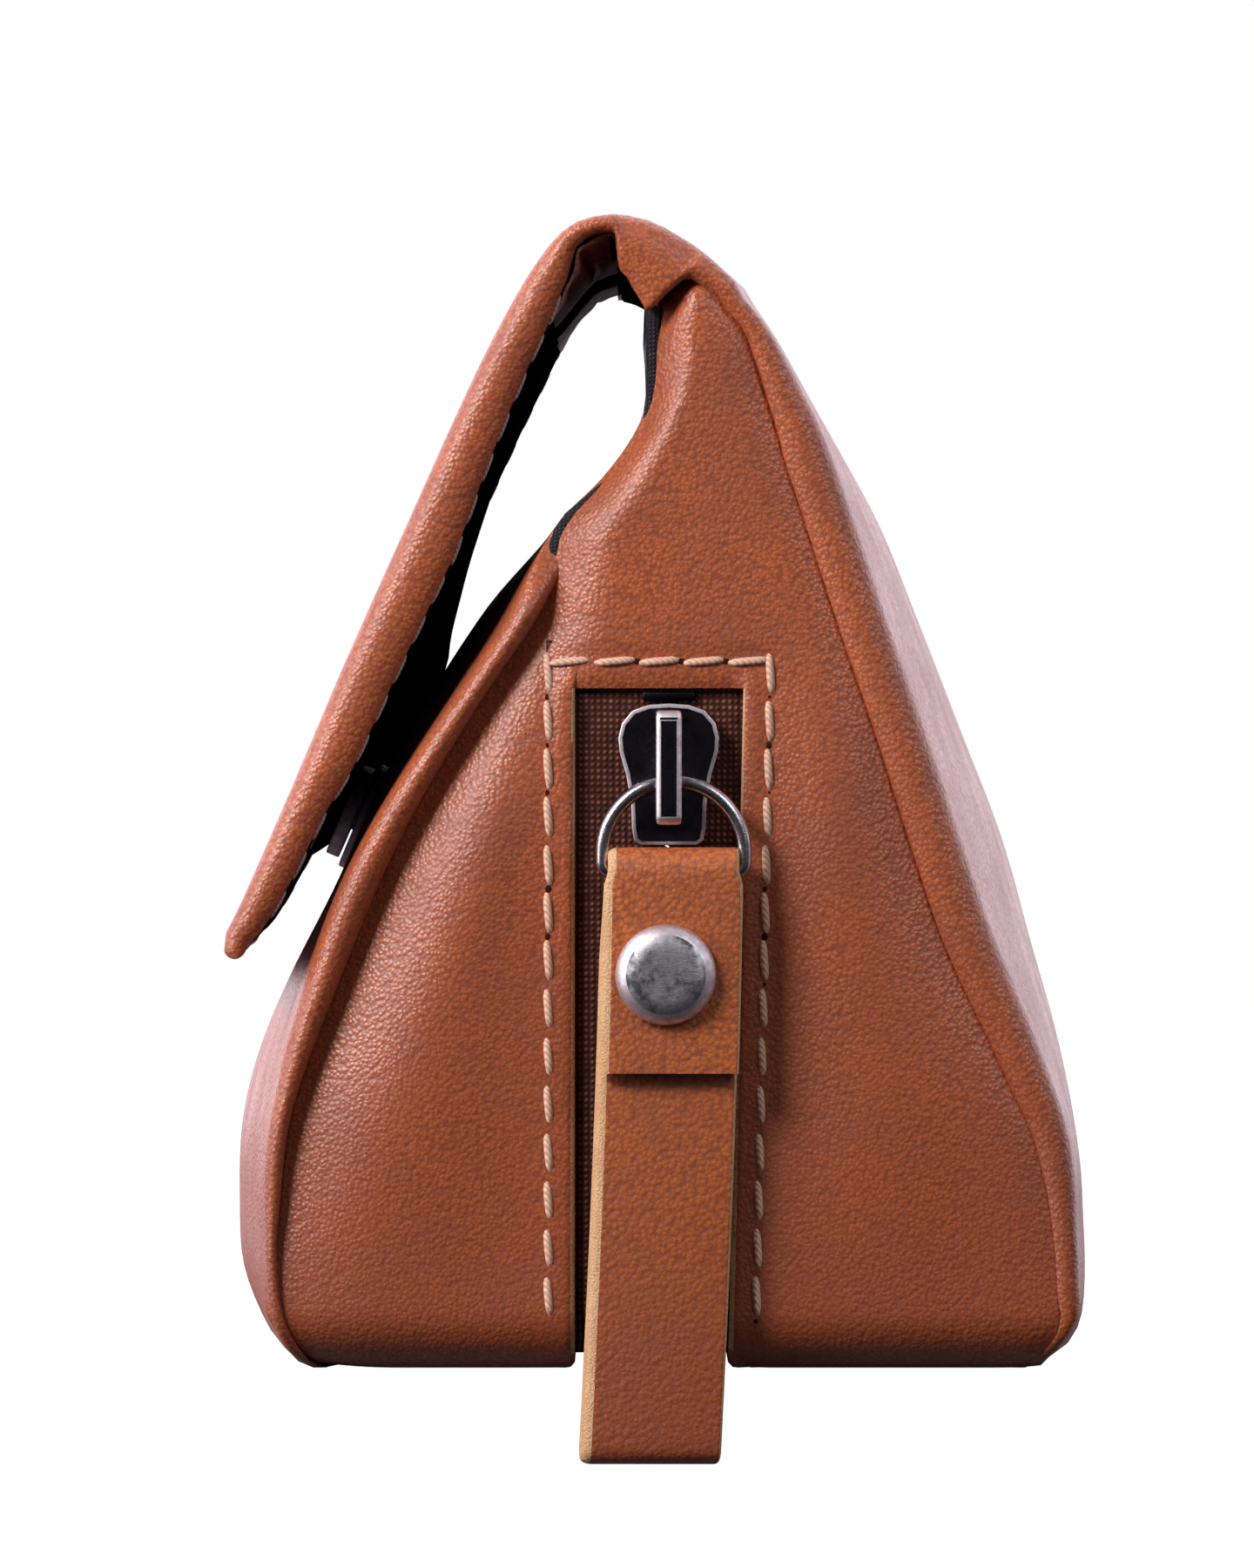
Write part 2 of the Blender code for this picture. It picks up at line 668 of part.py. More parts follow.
def flap(bench, leather, lining, foam):
    """The flap's outer leather with turned ends, its padding and its lining."""
    line, _ = flap_line()
    columns = turned_columns(1)
    rows = flap_rows((0, 1))

    def skin(i, j):
        depth = SEAM_BAND * through(FLAP_DEPTH_SHARES, rows[j])
        y, in_from_face = turned_place(columns[i], half_length, depth)
        return flap_point(line, rows[j], y, in_from_face)

    def layer(name, span, depth_at, thickness, material):
        inner_rows = flap_rows(span)
        half = half_length - LEATHER - GAP

        def place(i, j):
            return flap_point(line, inner_rows[j], (-1 + i) * half, depth_at(inner_rows[j]))

        bench.sheet(name, 3, len(inner_rows), place, thickness, -1, bench.flap, material)

    bench.sheet("flap_leather", len(columns), len(rows), skin, LEATHER, -1, bench.flap, leather)
    layer("flap_foam", FLAP_FOAM_SHARES, lambda share: LEATHER + GAP, FOAM, foam)
    layer("flap_lining", FLAP_LINING_SHARES, flap_lining_depth, LINING, lining)


def snap(bench, steel):
    """A magnet on the flap, a stud on the front panel, and a washer behind each. The snap's axis is square
    to the flap."""
    line, long = flap_line()
    share = 1 - SNAP_ABOVE_EDGE / long
    top = flap_point(line, share, 0, 0)
    outward = top - flap_point(line, share, 0, 1)
    to_front = 0
    for _ in range(FLAP_ROWS):
        z = top.z - outward.z * to_front
        to_front = (top.x - skin_x(-1, z, 0)) / outward.x
    seat = top - outward * to_front
    turn = Vector((0, 0, 1)).rotation_difference(outward).to_matrix().to_4x4()

    def at(height):
        return Matrix.Translation(seat + outward * height) @ turn

    lining_face = to_front - flap_lining_depth(share) - LINING
    magnet_low = lining_face - SNAP_SEAT - MAGNET
    stud_top = magnet_low - GAP
    stud = max(stud_top - SNAP_SEAT, STUD_LEAST)
    shank_end = -LEATHER - GAP
    bench.turned(
        "snap_stud_front",
        (
            (0, NIB), (NIB_RADIUS, NIB), (NIB_RADIUS, 0), (STUD_RADIUS, 0), (STUD_RADIUS, -stud),
            (SHANK_RADIUS, -stud), (SHANK_RADIUS, shank_end - stud_top), (0, shank_end - stud_top),
        ),
        bench.origin, steel["stud"], at(stud_top),
    )
    washer_low = -LEATHER - GAP - GAP - WASHER
    bench.rod(
        "snap_washer_front", WASHER_RADIUS, seat + outward * washer_low, seat + outward * (washer_low + WASHER),
        bench.origin, steel["washer"],
    )
    hole = NIB_RADIUS + GAP
    socket = NIB + GAP
    bench.turned(
        "snap_magnet_flap",
        (
            (0, MAGNET), (MAGNET_RADIUS, MAGNET), (MAGNET_RADIUS, 0), (hole, 0), (hole, socket), (0, socket),
        ),
        bench.flap, steel["magnet"], at(magnet_low),
    )
    washer_flap = lining_face + LINING + SNAP_SEAT + GAP
    bench.rod(
        "snap_washer_flap", WASHER_RADIUS, seat + outward * washer_flap, seat + outward * (washer_flap + WASHER),
        bench.flap, steel["washer"],
    )
    through_hole = SHANK_RADIUS + GAP
    reach = stack + OVERRUN
    parts = bench.parts.objects
    shank_cut = bench.rod(
        "cut_shank", through_hole, seat - outward * reach, seat + outward * reach, bench.origin, None
    )
    bench.cut(parts["front_panel"], shank_cut)
    washer_cut = bench.rod(
        "cut_washer_front", WASHER_RADIUS + GAP, seat - outward * reach, seat, bench.origin, None
    )
    bench.cut(parts["front_foam"], washer_cut)
    high = seat + outward * magnet_low
    flap_cut = bench.rod(
        "cut_washer_flap", WASHER_RADIUS + GAP, high, high + outward * (reach + stack), bench.flap, None
    )
    bench.cut(parts["flap_foam"], flap_cut)


def slider(bench, steel):
    """The slider: one block with a channel for each row of teeth and a slot for the tape."""
    right = [(SLIDER_HALF * x, slider_bottom + SLIDER_LENGTH * z) for x, z in SLIDER_SHARES]
    outline = right + [(-x, z) for x, z in reversed(right[:-1])]
    deep = slider_back - slider_front
    stand = Matrix.Translation((0, (slider_front + slider_back) / 2, 0)) @ Matrix.Rotation(math.pi / 2, 4, "X")
    body = bench.plate("slider_body", outline, deep, bench.slider, steel["slider"], stand)
    low_z = slider_bottom - OVERRUN
    high_z = SLIDER_TOP + OVERRUN
    low_y = chain_y - channel_half
    high_y = chain_y + channel_half
    inside = SLIDER_FLANGE_INSIDE
    post = SLIDER_POST / 2
    post_low = SLIDER_TOP - SLIDER_POST_LENGTH
    slot = SLIDER_SLOT / 2
    for side, name in ((-1, "front"), (1, "back")):
        xs = sorted((side * post, side * inside))
        channel = bench.block(
            "cut_channel_" + name, Vector((xs[0], low_y, low_z)), Vector((xs[1], high_y, high_z)),
            bench.slider, None,
        )
        bench.cut(body, channel)
        xs = sorted((side * (inside - GAP), side * (SLIDER_HALF + OVERRUN)))
        tape_slot = bench.block(
            "cut_tape_slot_" + name,
            Vector((xs[0], chain_y - slot, low_z)), Vector((xs[1], chain_y + slot, high_z)),
            bench.slider, None,
        )
        bench.cut(body, tape_slot)
    below = bench.block(
        "cut_below_post", Vector((-post - GAP, low_y, low_z)), Vector((post + GAP, high_y, post_low)),
        bench.slider, None,
    )
    bench.cut(body, below)


def bridge(bench, steel):
    """The arch on the slider that holds the ring."""
    foot_y = slider_front - GAP
    inner_y = ring_y - RING_WIRE / 2 - GAP
    outer_y = inner_y - BRIDGE_BAR
    top = bridge_bottom + BRIDGE_LENGTH
    top_foot = BRIDGE_BAR
    chamfer = BRIDGE_BAR / 2
    outline = (
        (foot_y, bridge_bottom), (outer_y + chamfer, bridge_bottom), (outer_y, bridge_bottom + chamfer),
        (outer_y, top - chamfer), (outer_y + chamfer, top), (foot_y, top),
        (foot_y, top - top_foot), (inner_y, top - top_foot),
        (inner_y, bridge_bottom + BRIDGE_FOOT), (foot_y, bridge_bottom + BRIDGE_FOOT),
    )
    stand = Matrix(((0, 0, 1, 0), (1, 0, 0, 0), (0, 1, 0, 0), (0, 0, 0, 1)))
    bench.plate("slider_bridge", outline, BRIDGE_WIDTH, bench.slider, steel["slider"], stand)


def pull_ring(bench, steel):
    """A D-shaped ring whose bar the strap goes round."""
    centre = ring_top - RING_HALF
    points = []
    arc_steps = 16
    for i in range(arc_steps + 1):
        angle = math.pi * i / arc_steps
        points.append((RING_HALF * math.cos(angle), centre + RING_HALF * math.sin(angle)))
    corner_steps = 3
    for side in (-1, 1):
        for i in range(corner_steps + 1):
            angle = math.pi / 2 * (i if side < 0 else corner_steps - i) / corner_steps
            points.append((
                side * (RING_HALF - RING_CORNER * (1 - math.cos(angle))),
                ring_bar + RING_CORNER * (1 - math.sin(angle)),
            ))
    curve = bpy.data.curves.new("pull_ring", "CURVE")
    curve.dimensions = "3D"
    curve.bevel_depth = RING_WIRE / 2
    curve.bevel_resolution = 2
    spline = curve.splines.new("POLY")
    spline.points.add(len(points) - 1)
    for point, (x, z) in zip(spline.points, points):
        point.co = (x, ring_y, z, 1)
    spline.use_cyclic_u = True
    ring = bpy.data.objects.new("pull_ring", curve)
    bench.parts.objects.link(ring)
    bench.carry(ring, bench.ring, steel["ring"])


def strap_path():
    """The strap's middle line, as (y, z): tab, round the bar, down behind, fold, and up in the middle."""
    front_y = ring_y - fold_middle
    back_y = ring_y + fold_middle
    bottom_fold = fold_middle / 2
    low = ring_bar - STRAP_REACH + bottom_fold + STRAP / 2
    tab_end = ring_bar - TAB_REACH
    shoulder = ring_bar - RING_WIRE / 2 - GAP
    path = [(front_y, tab_end + (shoulder - tab_end) * i / 4) for i in range(5)]
    path += [(front_y, shoulder + (ring_bar - shoulder) / 2)]
    for i in range(9):
        angle = math.pi * i / 8
        path.append((ring_y - fold_middle * math.cos(angle), ring_bar + fold_middle * math.sin(angle)))
    path += [(back_y, shoulder + (ring_bar - shoulder) / 2)]
    path += [(back_y, shoulder + (low - shoulder) * i / 8) for i in range(9)]
    for i in range(1, 5):
        angle = math.pi * i / 5
        path.append((
            ring_y + bottom_fold + bottom_fold * math.cos(angle), low - bottom_fold * math.sin(angle)
        ))
    high = ring_bar - fold_inside - GAP
    return path + [(ring_y, low + (high - low) * i / 8) for i in range(9)], shoulder


def strap(bench, leather, steel):
    path, shoulder = strap_path()
    narrow = 2 * (RING_HALF - RING_WIRE / 2 - GAP)

    def place(i, j):
        y, z = path[j]
        wide = narrow if z > shoulder else STRAP_WIDTH
        lean = STRAP_LEAN * max(shoulder - z, 0) / STRAP_REACH
        return Vector(((-1 + i) * wide / 2 - lean, y, z))

    body = bench.sheet("pull_strap", 3, len(path), place, STRAP, 0, bench.strap, leather)
    rivet_z = ring_bar - RIVET_REACH
    rivet_x = -STRAP_LEAN * max(shoulder - rivet_z, 0) / STRAP_REACH
    front = ring_y - fold_inside - STRAP
    back = ring_y + fold_inside + STRAP

    def spot(y):
        return Vector((rivet_x, y, rivet_z))

    hole = bench.rod(
        "cut_rivet_hole", POST_RADIUS + GAP, spot(front - OVERRUN), spot(back + OVERRUN), bench.strap, None
    )
    bench.cut(body, hole)
    bench.rod("rivet_post", POST_RADIUS, spot(front), spot(back), bench.strap, steel["rivet"])
    steps = 6
    dome = [
        (RIVET_RADIUS * math.sin(angle), RIVET_EDGE + RIVET_DOME * math.cos(angle))
        for angle in (math.pi / 2 * i / steps for i in range(steps + 1))
    ]
    face_on = Matrix.Translation(spot(front - GAP)) @ Matrix.Rotation(math.pi / 2, 4, "X")
    bench.turned(
        "rivet_cap", dome + [(RIVET_RADIUS, 0), (0, 0)], bench.strap, steel["rivet"], face_on
    )
    behind = spot(back + GAP)
    bench.rod(
        "rivet_back_cap", BACK_CAP_RADIUS, behind, behind + Vector((0, BACK_CAP, 0)), bench.strap, steel["rivet"]
    )


def pipe_bag():
    clear_scene()
    bench = Bench()
    tan = (0.36, 0.092, 0.038)
    dark = (0.012, 0.01, 0.012)
    for side, name in ((-1, "front"), (1, "back")):
        panel(bench, side, name + "_panel", finish(name + "_panel", tan, 0.5))
        foam_top = END_TOP * (FRONT_FOAM_SHARE if side < 0 else BACK_FOAM_SHARE)
        foam_layer(bench, side, name + "_foam", foam_top, finish(name + "_foam", (0.7, 0.68, 0.62), 0.9))
        lining_layer(bench, side, name + "_lining", foam_top, panel_top(side), finish(name + "_lining", dark, 0.8))
        base_half(bench, side, f"base_{name}_half", finish(f"base_{name}_half", tan, 0.55))
        zip_tape(bench, side, "zip_tape_" + name, finish("zip_tape_" + name, (0.055, 0.012, 0.008), 0.85))
        zip_teeth(bench, side, "zip_teeth_" + name, finish("zip_teeth_" + name, (0.05, 0.014, 0.01), 0.45))
    for end, name in ((1, "near"), (-1, "far")):
        end_panel(bench, end, f"gusset_{name}_end", finish(f"gusset_{name}_end", tan, 0.5))
        zip_stop(bench, end, "zip_stop_" + name, finish("zip_stop_" + name, (0.02, 0.02, 0.022), 0.4, 1.0))
    hem(bench, finish("mouth_hem", dark, 0.85))
    divider(bench, finish("compartment_divider", dark, 0.85))
    flap(
        bench,
        finish("flap_leather", tan, 0.5),
        finish("flap_lining", dark, 0.8),
        finish("flap_foam", (0.7, 0.68, 0.62), 0.9),
    )
    snap(
        bench,
        {
            "stud": finish("snap_stud", (0.35, 0.34, 0.36), 0.35, 1.0),
            "magnet": finish("snap_magnet", (0.35, 0.34, 0.36), 0.35, 1.0),
            "washer": finish("snap_washer", (0.5, 0.5, 0.5), 0.4, 1.0),
        },
    )
    steel = {
        "slider": finish("slider_gunmetal", (0.1, 0.09, 0.1), 0.3, 1.0),
        "ring": finish("ring_steel", (0.6, 0.58, 0.58), 0.25, 1.0),
        "rivet": finish("rivet_silver", (0.36, 0.34, 0.36), 0.35, 1.0),
    }
    slider(bench, steel)
    bridge(bench, steel)
    pull_ring(bench, steel)
    strap(bench, finish("pull_strap", (0.4, 0.11, 0.05), 0.5), steel)


pipe_bag()
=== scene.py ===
"""The looks of a padded leather pipe bag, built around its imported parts.

Metres, +Z up. Y runs along the bag, with the zip's pull at the -Y end, and the flap hangs on the -X side.
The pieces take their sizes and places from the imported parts."""

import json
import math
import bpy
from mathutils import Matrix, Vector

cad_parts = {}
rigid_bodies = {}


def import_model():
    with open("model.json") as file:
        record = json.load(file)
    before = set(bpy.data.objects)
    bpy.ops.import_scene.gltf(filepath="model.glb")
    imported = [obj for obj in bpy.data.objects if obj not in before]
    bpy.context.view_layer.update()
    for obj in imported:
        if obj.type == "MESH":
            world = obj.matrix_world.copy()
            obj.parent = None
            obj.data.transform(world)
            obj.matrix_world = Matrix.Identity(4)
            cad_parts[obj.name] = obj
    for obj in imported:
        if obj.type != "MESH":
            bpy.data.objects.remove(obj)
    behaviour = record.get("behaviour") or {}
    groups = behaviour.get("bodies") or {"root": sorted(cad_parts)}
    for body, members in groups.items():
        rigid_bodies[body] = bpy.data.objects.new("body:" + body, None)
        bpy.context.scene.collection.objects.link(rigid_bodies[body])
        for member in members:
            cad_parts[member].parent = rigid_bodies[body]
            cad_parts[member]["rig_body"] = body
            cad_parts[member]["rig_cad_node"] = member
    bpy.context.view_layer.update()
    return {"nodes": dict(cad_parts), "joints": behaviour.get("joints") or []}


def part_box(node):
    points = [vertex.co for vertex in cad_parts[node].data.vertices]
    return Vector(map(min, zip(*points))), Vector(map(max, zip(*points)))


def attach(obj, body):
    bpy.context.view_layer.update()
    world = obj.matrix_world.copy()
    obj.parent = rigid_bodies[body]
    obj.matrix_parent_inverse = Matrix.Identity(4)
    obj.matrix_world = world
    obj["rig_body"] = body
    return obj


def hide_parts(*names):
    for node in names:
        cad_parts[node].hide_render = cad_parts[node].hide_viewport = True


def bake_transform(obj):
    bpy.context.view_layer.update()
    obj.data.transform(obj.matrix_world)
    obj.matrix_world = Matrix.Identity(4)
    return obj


bl_info = {
    "name": "Pipe bag looks",
    "version": (1, 0, 0),
    "blender": (4, 5, 0),
    "location": "View3D > Sidebar > Pipe bag",
    "description": "Leather, lining, zip, pull and stitching of a padded pipe bag",
    "category": "Object",
}

import bpy
from bpy.props import FloatProperty, FloatVectorProperty, PointerProperty
from mathutils import Matrix, Vector

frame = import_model()
nodes = frame["nodes"]

GAP = 0.0003  # between two parts that touch
NEAR = 0.000002  # closer than this, two points are the same
PULL_SHIFT = 0.0005  # how far the ring and its strap hang to the back
CLOTH = 0.0004  # thickness of a lining

slider_low, slider_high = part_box("slider_body")
zip_x = (slider_low.x + slider_high.x) / 2
half_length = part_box("gusset_far_end")[1].y
end_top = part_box("back_panel")[1].z
window_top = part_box("zip_stop_near")[1].z + GAP
window_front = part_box("base_front_half")[1].x
window_back_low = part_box("base_back_half")[0].x
middle_of_bag = Vector((zip_x, 0, window_top / 2))
strap_low, strap_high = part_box("pull_strap")
ring_low, ring_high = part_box("pull_ring")
rivet_low, rivet_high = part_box("rivet_cap")
hinge = Vector(next(joint["pos_m"] for joint in frame["joints"] if joint["name"] == "flap_hinge"))


def through(table, at):
    """A smooth curve through the points of a table, read at one place."""
    last = len(table) - 1
    at = min(max(at, table[0][0]), table[last][0])
    i = max(k for k in range(last) if table[k][0] <= at)

    def slope(k):
        before = max(k - 1, 0)
        after = min(k + 1, last)
        return (table[after][1] - table[before][1]) / (table[after][0] - table[before][0])

    width = table[i + 1][0] - table[i][0]
    t = (at - table[i][0]) / width
    start, end = table[i][1], table[i + 1][1]
    rise, fall = slope(i) * width, slope(i + 1) * width
    return (
        start * (2 * t**3 - 3 * t**2 + 1)
        + end * (3 * t**2 - 2 * t**3)
        + rise * (t**3 - 2 * t**2 + t)
        + fall * (t**3 - t**2)
    )


def straight(table, at):
    """Straight lines through the points of a table, read at one place."""
    for (x0, y0), (x1, y1) in zip(table, table[1:]):
        if at <= x1:
            return y0 + (y1 - y0) * max((at - x0) / (x1 - x0), 0)
    return table[-1][1]


def smooth_step(t):
    t = min(max(t, 0), 1)
    return t * t * (3 - 2 * t)


def eased(at, start, over):
    """Rises softly from 0 at the start to 1 when it is over."""
    return smooth_step((at - start) / over)


# The bag's section as shares of its own sizes: (height, reach) of the two seams and of the bulge between the
# ends, and the share of seam_width that a panel's turned edge stands outside its seam.
FRONT_SEAM = (
    (0, 0.94), (0.055, 1), (0.143, 0.985), (0.241, 0.95), (0.371, 0.823), (0.456, 0.727), (0.535, 0.614),
    (0.63, 0.456), (0.7, 0.33), (0.789, 0.204), (0.8375, 0.107), (0.887, 0.036), (1, 0.024),
)
BACK_SEAM = (
    (0, 0.955), (0.034, 0.995), (0.088, 0.992), (0.136, 0.98), (0.183, 0.957), (0.23, 0.92), (0.277, 0.858),
    (0.324, 0.797), (0.395, 0.704), (0.458, 0.642), (0.59, 0.527), (0.691, 0.433), (0.784, 0.35),
    (0.895, 0.251), (0.968, 0.185), (1, 0.125),
)
FRONT_BULGE = (
    (0, 0.88), (0.04, 0.944), (0.0875, 0.991), (0.152, 1), (0.223, 0.9935), (0.29, 0.9545), (0.364, 0.879),
    (0.455, 0.765), (0.536, 0.682), (0.625, 0.565), (0.69, 0.466), (0.732, 0.39), (0.8, 0.23), (0.866, 0.078),
    (0.93, 0.05), (1, 0.055),
)
BACK_BULGE = (
    (0, 0.93), (0.02, 0.965), (0.054, 0.98), (0.0875, 0.986), (0.136, 0.982), (0.189, 0.974), (0.29, 0.9335),
    (0.392, 0.866), (0.494, 0.796), (0.5955, 0.7), (0.697, 0.602), (0.799, 0.498), (0.9, 0.3555),
    (0.968, 0.26), (1, 0.211),
)
FRONT_BAND = (
    (0, 0.08), (0.058, 0.08), (0.107, 0.2), (0.159, 0.35), (0.206, 0.41), (0.253, 0.46), (0.3, 0.58),
    (0.371, 0.73), (0.45, 0.83), (0.505, 0.81), (0.585, 0.71), (0.645, 0.64), (0.79, 0.64), (0.8214, 0.4),
    (0.854, 0.23), (0.886, 0.22), (0.951, 0.22), (1, 0.3),
)
BACK_BAND = (
    (0, 0.05), (0.034, 0.25), (0.05, 0.42), (0.088, 0.46), (0.136, 0.51), (0.183, 0.65), (0.23, 0.78),
    (0.277, 0.92), (0.324, 1), (0.395, 1.08), (0.6, 1.04), (0.87, 1), (0.919, 0.82), (0.951, 0.66),
    (0.984, 0.56), (1, 0.52),
)
# The flap's outer line as (share of its reach, share of the bag's height), from its root to its edge.
FLAP = (
    (0.189, 1.0125), (0.145, 1.0265), (0.045, 1.0515), (-0.045, 1.0715), (-0.133, 1.0768), (-0.22, 1.067),
    (-0.29, 1.036), (-0.366, 0.984), (-0.445, 0.919), (-0.587, 0.789), (-0.727, 0.659), (-0.86, 0.5295),
    (-0.963, 0.432), (-1, 0.399), (-0.992, 0.38),
)
SEAM_SHARES = {-1: FRONT_SEAM, 1: BACK_SEAM}
BULGE_SHARES = {-1: FRONT_BULGE, 1: BACK_BULGE}
BAND_SHARES = {-1: FRONT_BAND, 1: BACK_BAND}
bulge_power = 2.6  # how flat the bulge is along the bag
corner_radius = 0.006  # of the bag's lower corners
seam_width = 0.005  # how far a panel's turned edge can stand outside its seam
foot_radius = 0.0034  # where the panels bend under the base
foot_share = 0.55  # of that bend at the bag's ends
foot_rows, skin_steps, flap_steps = 6, 56, 96
root_drawn_in = 0.0018  # how far the flap's root is drawn in at the bag's ends
root_reach = 0.0100  # along the flap
askew = 0.0020  # how far the flap's edge swings out at the far end
askew_from, askew_over = 0.045, 0.05  # where along the flap that starts, and how gradually
window_widening = 0.0016  # how much wider the zip's opening is at its top
neck_recess = 0.0042  # how far the front's leather lies back behind the end panel beside the neck
under_seam = 0.0009  # how far the end panel's leather goes on under the rolled ends

end_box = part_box("gusset_near_end")
seam_reach = {-1: zip_x - end_box[0].x + GAP, 1: end_box[1].x - zip_x + GAP}
bulge_reach = {-1: zip_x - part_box("front_panel")[0].x, 1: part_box("back_panel")[1].x - zip_x}
flap_reach = zip_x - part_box("flap_leather")[0].x


def seam_x(side, z):
    return zip_x + side * seam_reach[side] * through(SEAM_SHARES[side], z / end_top)


def skin_row(side, z):
    """A panel's outer face at one height: x at its ends, x halfway along, and the height."""
    foot = foot_radius * (1 - math.sqrt(1 - (1 - min(z / foot_radius, 1)) ** 2)) * side
    end = seam_x(side, z) + side * seam_width * through(BAND_SHARES[side], z / end_top)
    middle = zip_x + side * bulge_reach[side] * through(BULGE_SHARES[side], z / end_top)
    return end - foot * foot_share, middle - foot, z


def skin_rows(side):
    heights = [foot_radius * i / foot_rows for i in range(foot_rows)]
    heights += [foot_radius + (end_top - foot_radius) * i / skin_steps for i in range(skin_steps + 1)]
    return [skin_row(side, z) for z in heights]


def half_length_at(z):
    """Half the bag's length, less where its lower corners are rounded."""
    rest = corner_radius - min(max(z, 0), corner_radius)
    return half_length - corner_radius + math.sqrt(corner_radius**2 - rest**2)


def flap_rows():
    """The flap's outer line from its root to its edge, smoothed through its table."""
    points = [(hinge.x, hinge.z)] + [(zip_x + x * flap_reach, z * end_top) for x, z in FLAP]
    lengths = [0]
    for before, after in zip(points, points[1:]):
        lengths.append(lengths[-1] + math.dist(before, after))
    tables = [[(at, point[k]) for at, point in zip(lengths, points)] for k in (0, 1)]
    rows = []
    for i in range(1, flap_steps + 1):
        at = lengths[-1] * i / flap_steps
        x, z = (through(table, at) for table in tables)
        drawn_in = root_drawn_in * (1 - smooth_step(at / root_reach))
        rows.append((x - drawn_in, x, z))
    return rows


class FaceLine:
    """The outer line of a panel in section, by the distance along it from the base."""

    def __init__(self, rows, turn):
        self.turn = turn
        kept = [rows[0]]
        for row in rows[1:]:
            if math.dist((row[0], row[2]), (kept[-1][0], kept[-1][2])) > GAP * 2:
                kept.append(row)
        lengths = [0]
        for before, after in zip(kept, kept[1:]):
            lengths.append(lengths[-1] + math.dist((before[0], before[2]), (after[0], after[2])))
        self.length = lengths[-1]
        self.tables = [[(at, row[k]) for at, row in zip(lengths, kept)] for k in range(3)]

    def at(self, distance):
        return [through(table, distance) for table in self.tables]

    def inward(self, distance):
        step = GAP * 4
        x0, _, z0 = self.at(max(distance - step, 0))
        x1, _, z1 = self.at(min(distance + step, self.length))
        level = smooth_step((z0 + z1) / 2 / corner_radius)
        return Vector((-(z1 - z0) * self.turn, 0, (x1 - x0) * self.turn * level)).normalized()


back_line = FaceLine(skin_rows(1) + flap_rows(), 1)
front_line = FaceLine(skin_rows(-1), -1)
hinge_at = FaceLine(skin_rows(1), 1).length


def activate(*pieces):
    bpy.ops.object.select_all(action="DESELECT")
    for piece in pieces:
        piece.select_set(True)
    bpy.context.view_layer.objects.active = pieces[0]


def mode(name):
    bpy.ops.object.mode_set(mode=name)


def editing(piece, *steps):
    """Runs operators on a piece in edit mode with all of it selected."""
    activate(piece)
    mode("EDIT")
    bpy.ops.mesh.select_all(action="SELECT")
    for step in steps:
        step()
    mode("OBJECT")


def edit_faces(piece, test):
    """Selects the faces that pass a test and goes on in edit mode."""
    activate(piece)
    mode("EDIT")
    bpy.ops.mesh.select_mode(type="FACE")
    bpy.ops.mesh.select_all(action="DESELECT")
    mode("OBJECT")
    for face in piece.data.polygons:
        face.select = test(face)
    mode("EDIT")


def merge():
    bpy.ops.mesh.remove_doubles(threshold=NEAR)


def fill():
    bpy.ops.mesh.fill_holes(sides=0)


def outside():
    bpy.ops.mesh.normals_make_consistent(inside=False)


def made(name):
    """The piece that an operator has just made, under its name."""
    piece = bpy.context.object
    piece.name = piece.data.name = name
    return piece


def linked(name, data):
    """A new object in the scene."""
    piece = bpy.data.objects.new(name, data)
    bpy.context.scene.collection.objects.link(piece)
    return piece


def grid(name, columns, rows, place):
    """A grid whose points are put in place one by one."""
    bpy.ops.object.select_all(action="DESELECT")
    bpy.ops.mesh.primitive_grid_add(x_subdivisions=columns - 1, y_subdivisions=rows - 1, size=2)
    piece = made(name)
    for v in piece.data.vertices:
        v.co = place(round((v.co.x + 1) / 2 * (columns - 1)), round((v.co.y + 1) / 2 * (rows - 1)))
    return piece


def ball(name, segments, rings, place):
    """A ball of radius 1 whose points are put in place one by one."""
    bpy.ops.object.select_all(action="DESELECT")
    bpy.ops.mesh.primitive_uv_sphere_add(segments=segments, ring_count=rings, radius=1)
    piece = made(name)
    for v in piece.data.vertices:
        v.co = place(*v.co)
    return piece


def loft(name, columns, rows, place):
    """A closed skin over sections that each return to where they start."""
    piece = grid(name, columns, rows, place)
    editing(piece, merge, fill, outside)
    return piece


def modifier(piece, kind, **settings):
    """Adds a modifier with its settings and applies it."""
    activate(piece)
    added = piece.modifiers.new(kind.lower(), kind)
    for key, value in settings.items():
        setattr(added, key, value)
    bpy.ops.object.modifier_apply(modifier=added.name)
    return piece


def wall(piece, thickness, outward):
    """Gives a sheet its thickness on the side away from outward(centre)."""
    right = sum(1 if face.normal.dot(outward(face.center)) > 0 else -1 for face in piece.data.polygons)
    if right < 0:
        editing(piece, bpy.ops.mesh.flip_normals)
    return modifier(piece, "SOLIDIFY", thickness=thickness, offset=-1, use_even_offset=True)


def smooth(piece, angle=40):
    activate(piece)
    bpy.ops.object.shade_smooth_by_angle(angle=math.radians(angle))
    return piece


def tube(name, points, radius, cyclic=False, sides=3):
    """A round wire along points, made a closed mesh."""
    curve = bpy.data.curves.new(name, "CURVE")
    curve.dimensions = "3D"
    curve.bevel_depth = radius
    curve.bevel_resolution = sides
    curve.use_fill_caps = True
    spline = curve.splines.new("POLY")
    spline.points.add(len(points) - 1)
    for point, place in zip(spline.points, points):
        point.co = (*place, 1)
    spline.use_cyclic_u = cyclic
    activate(linked(name, curve))
    bpy.ops.object.convert(target="MESH")
    piece = bpy.context.object
    editing(piece, merge, outside)
    return piece


def join(name, pieces):
    activate(*pieces)
    bpy.ops.object.join()
    return made(name)


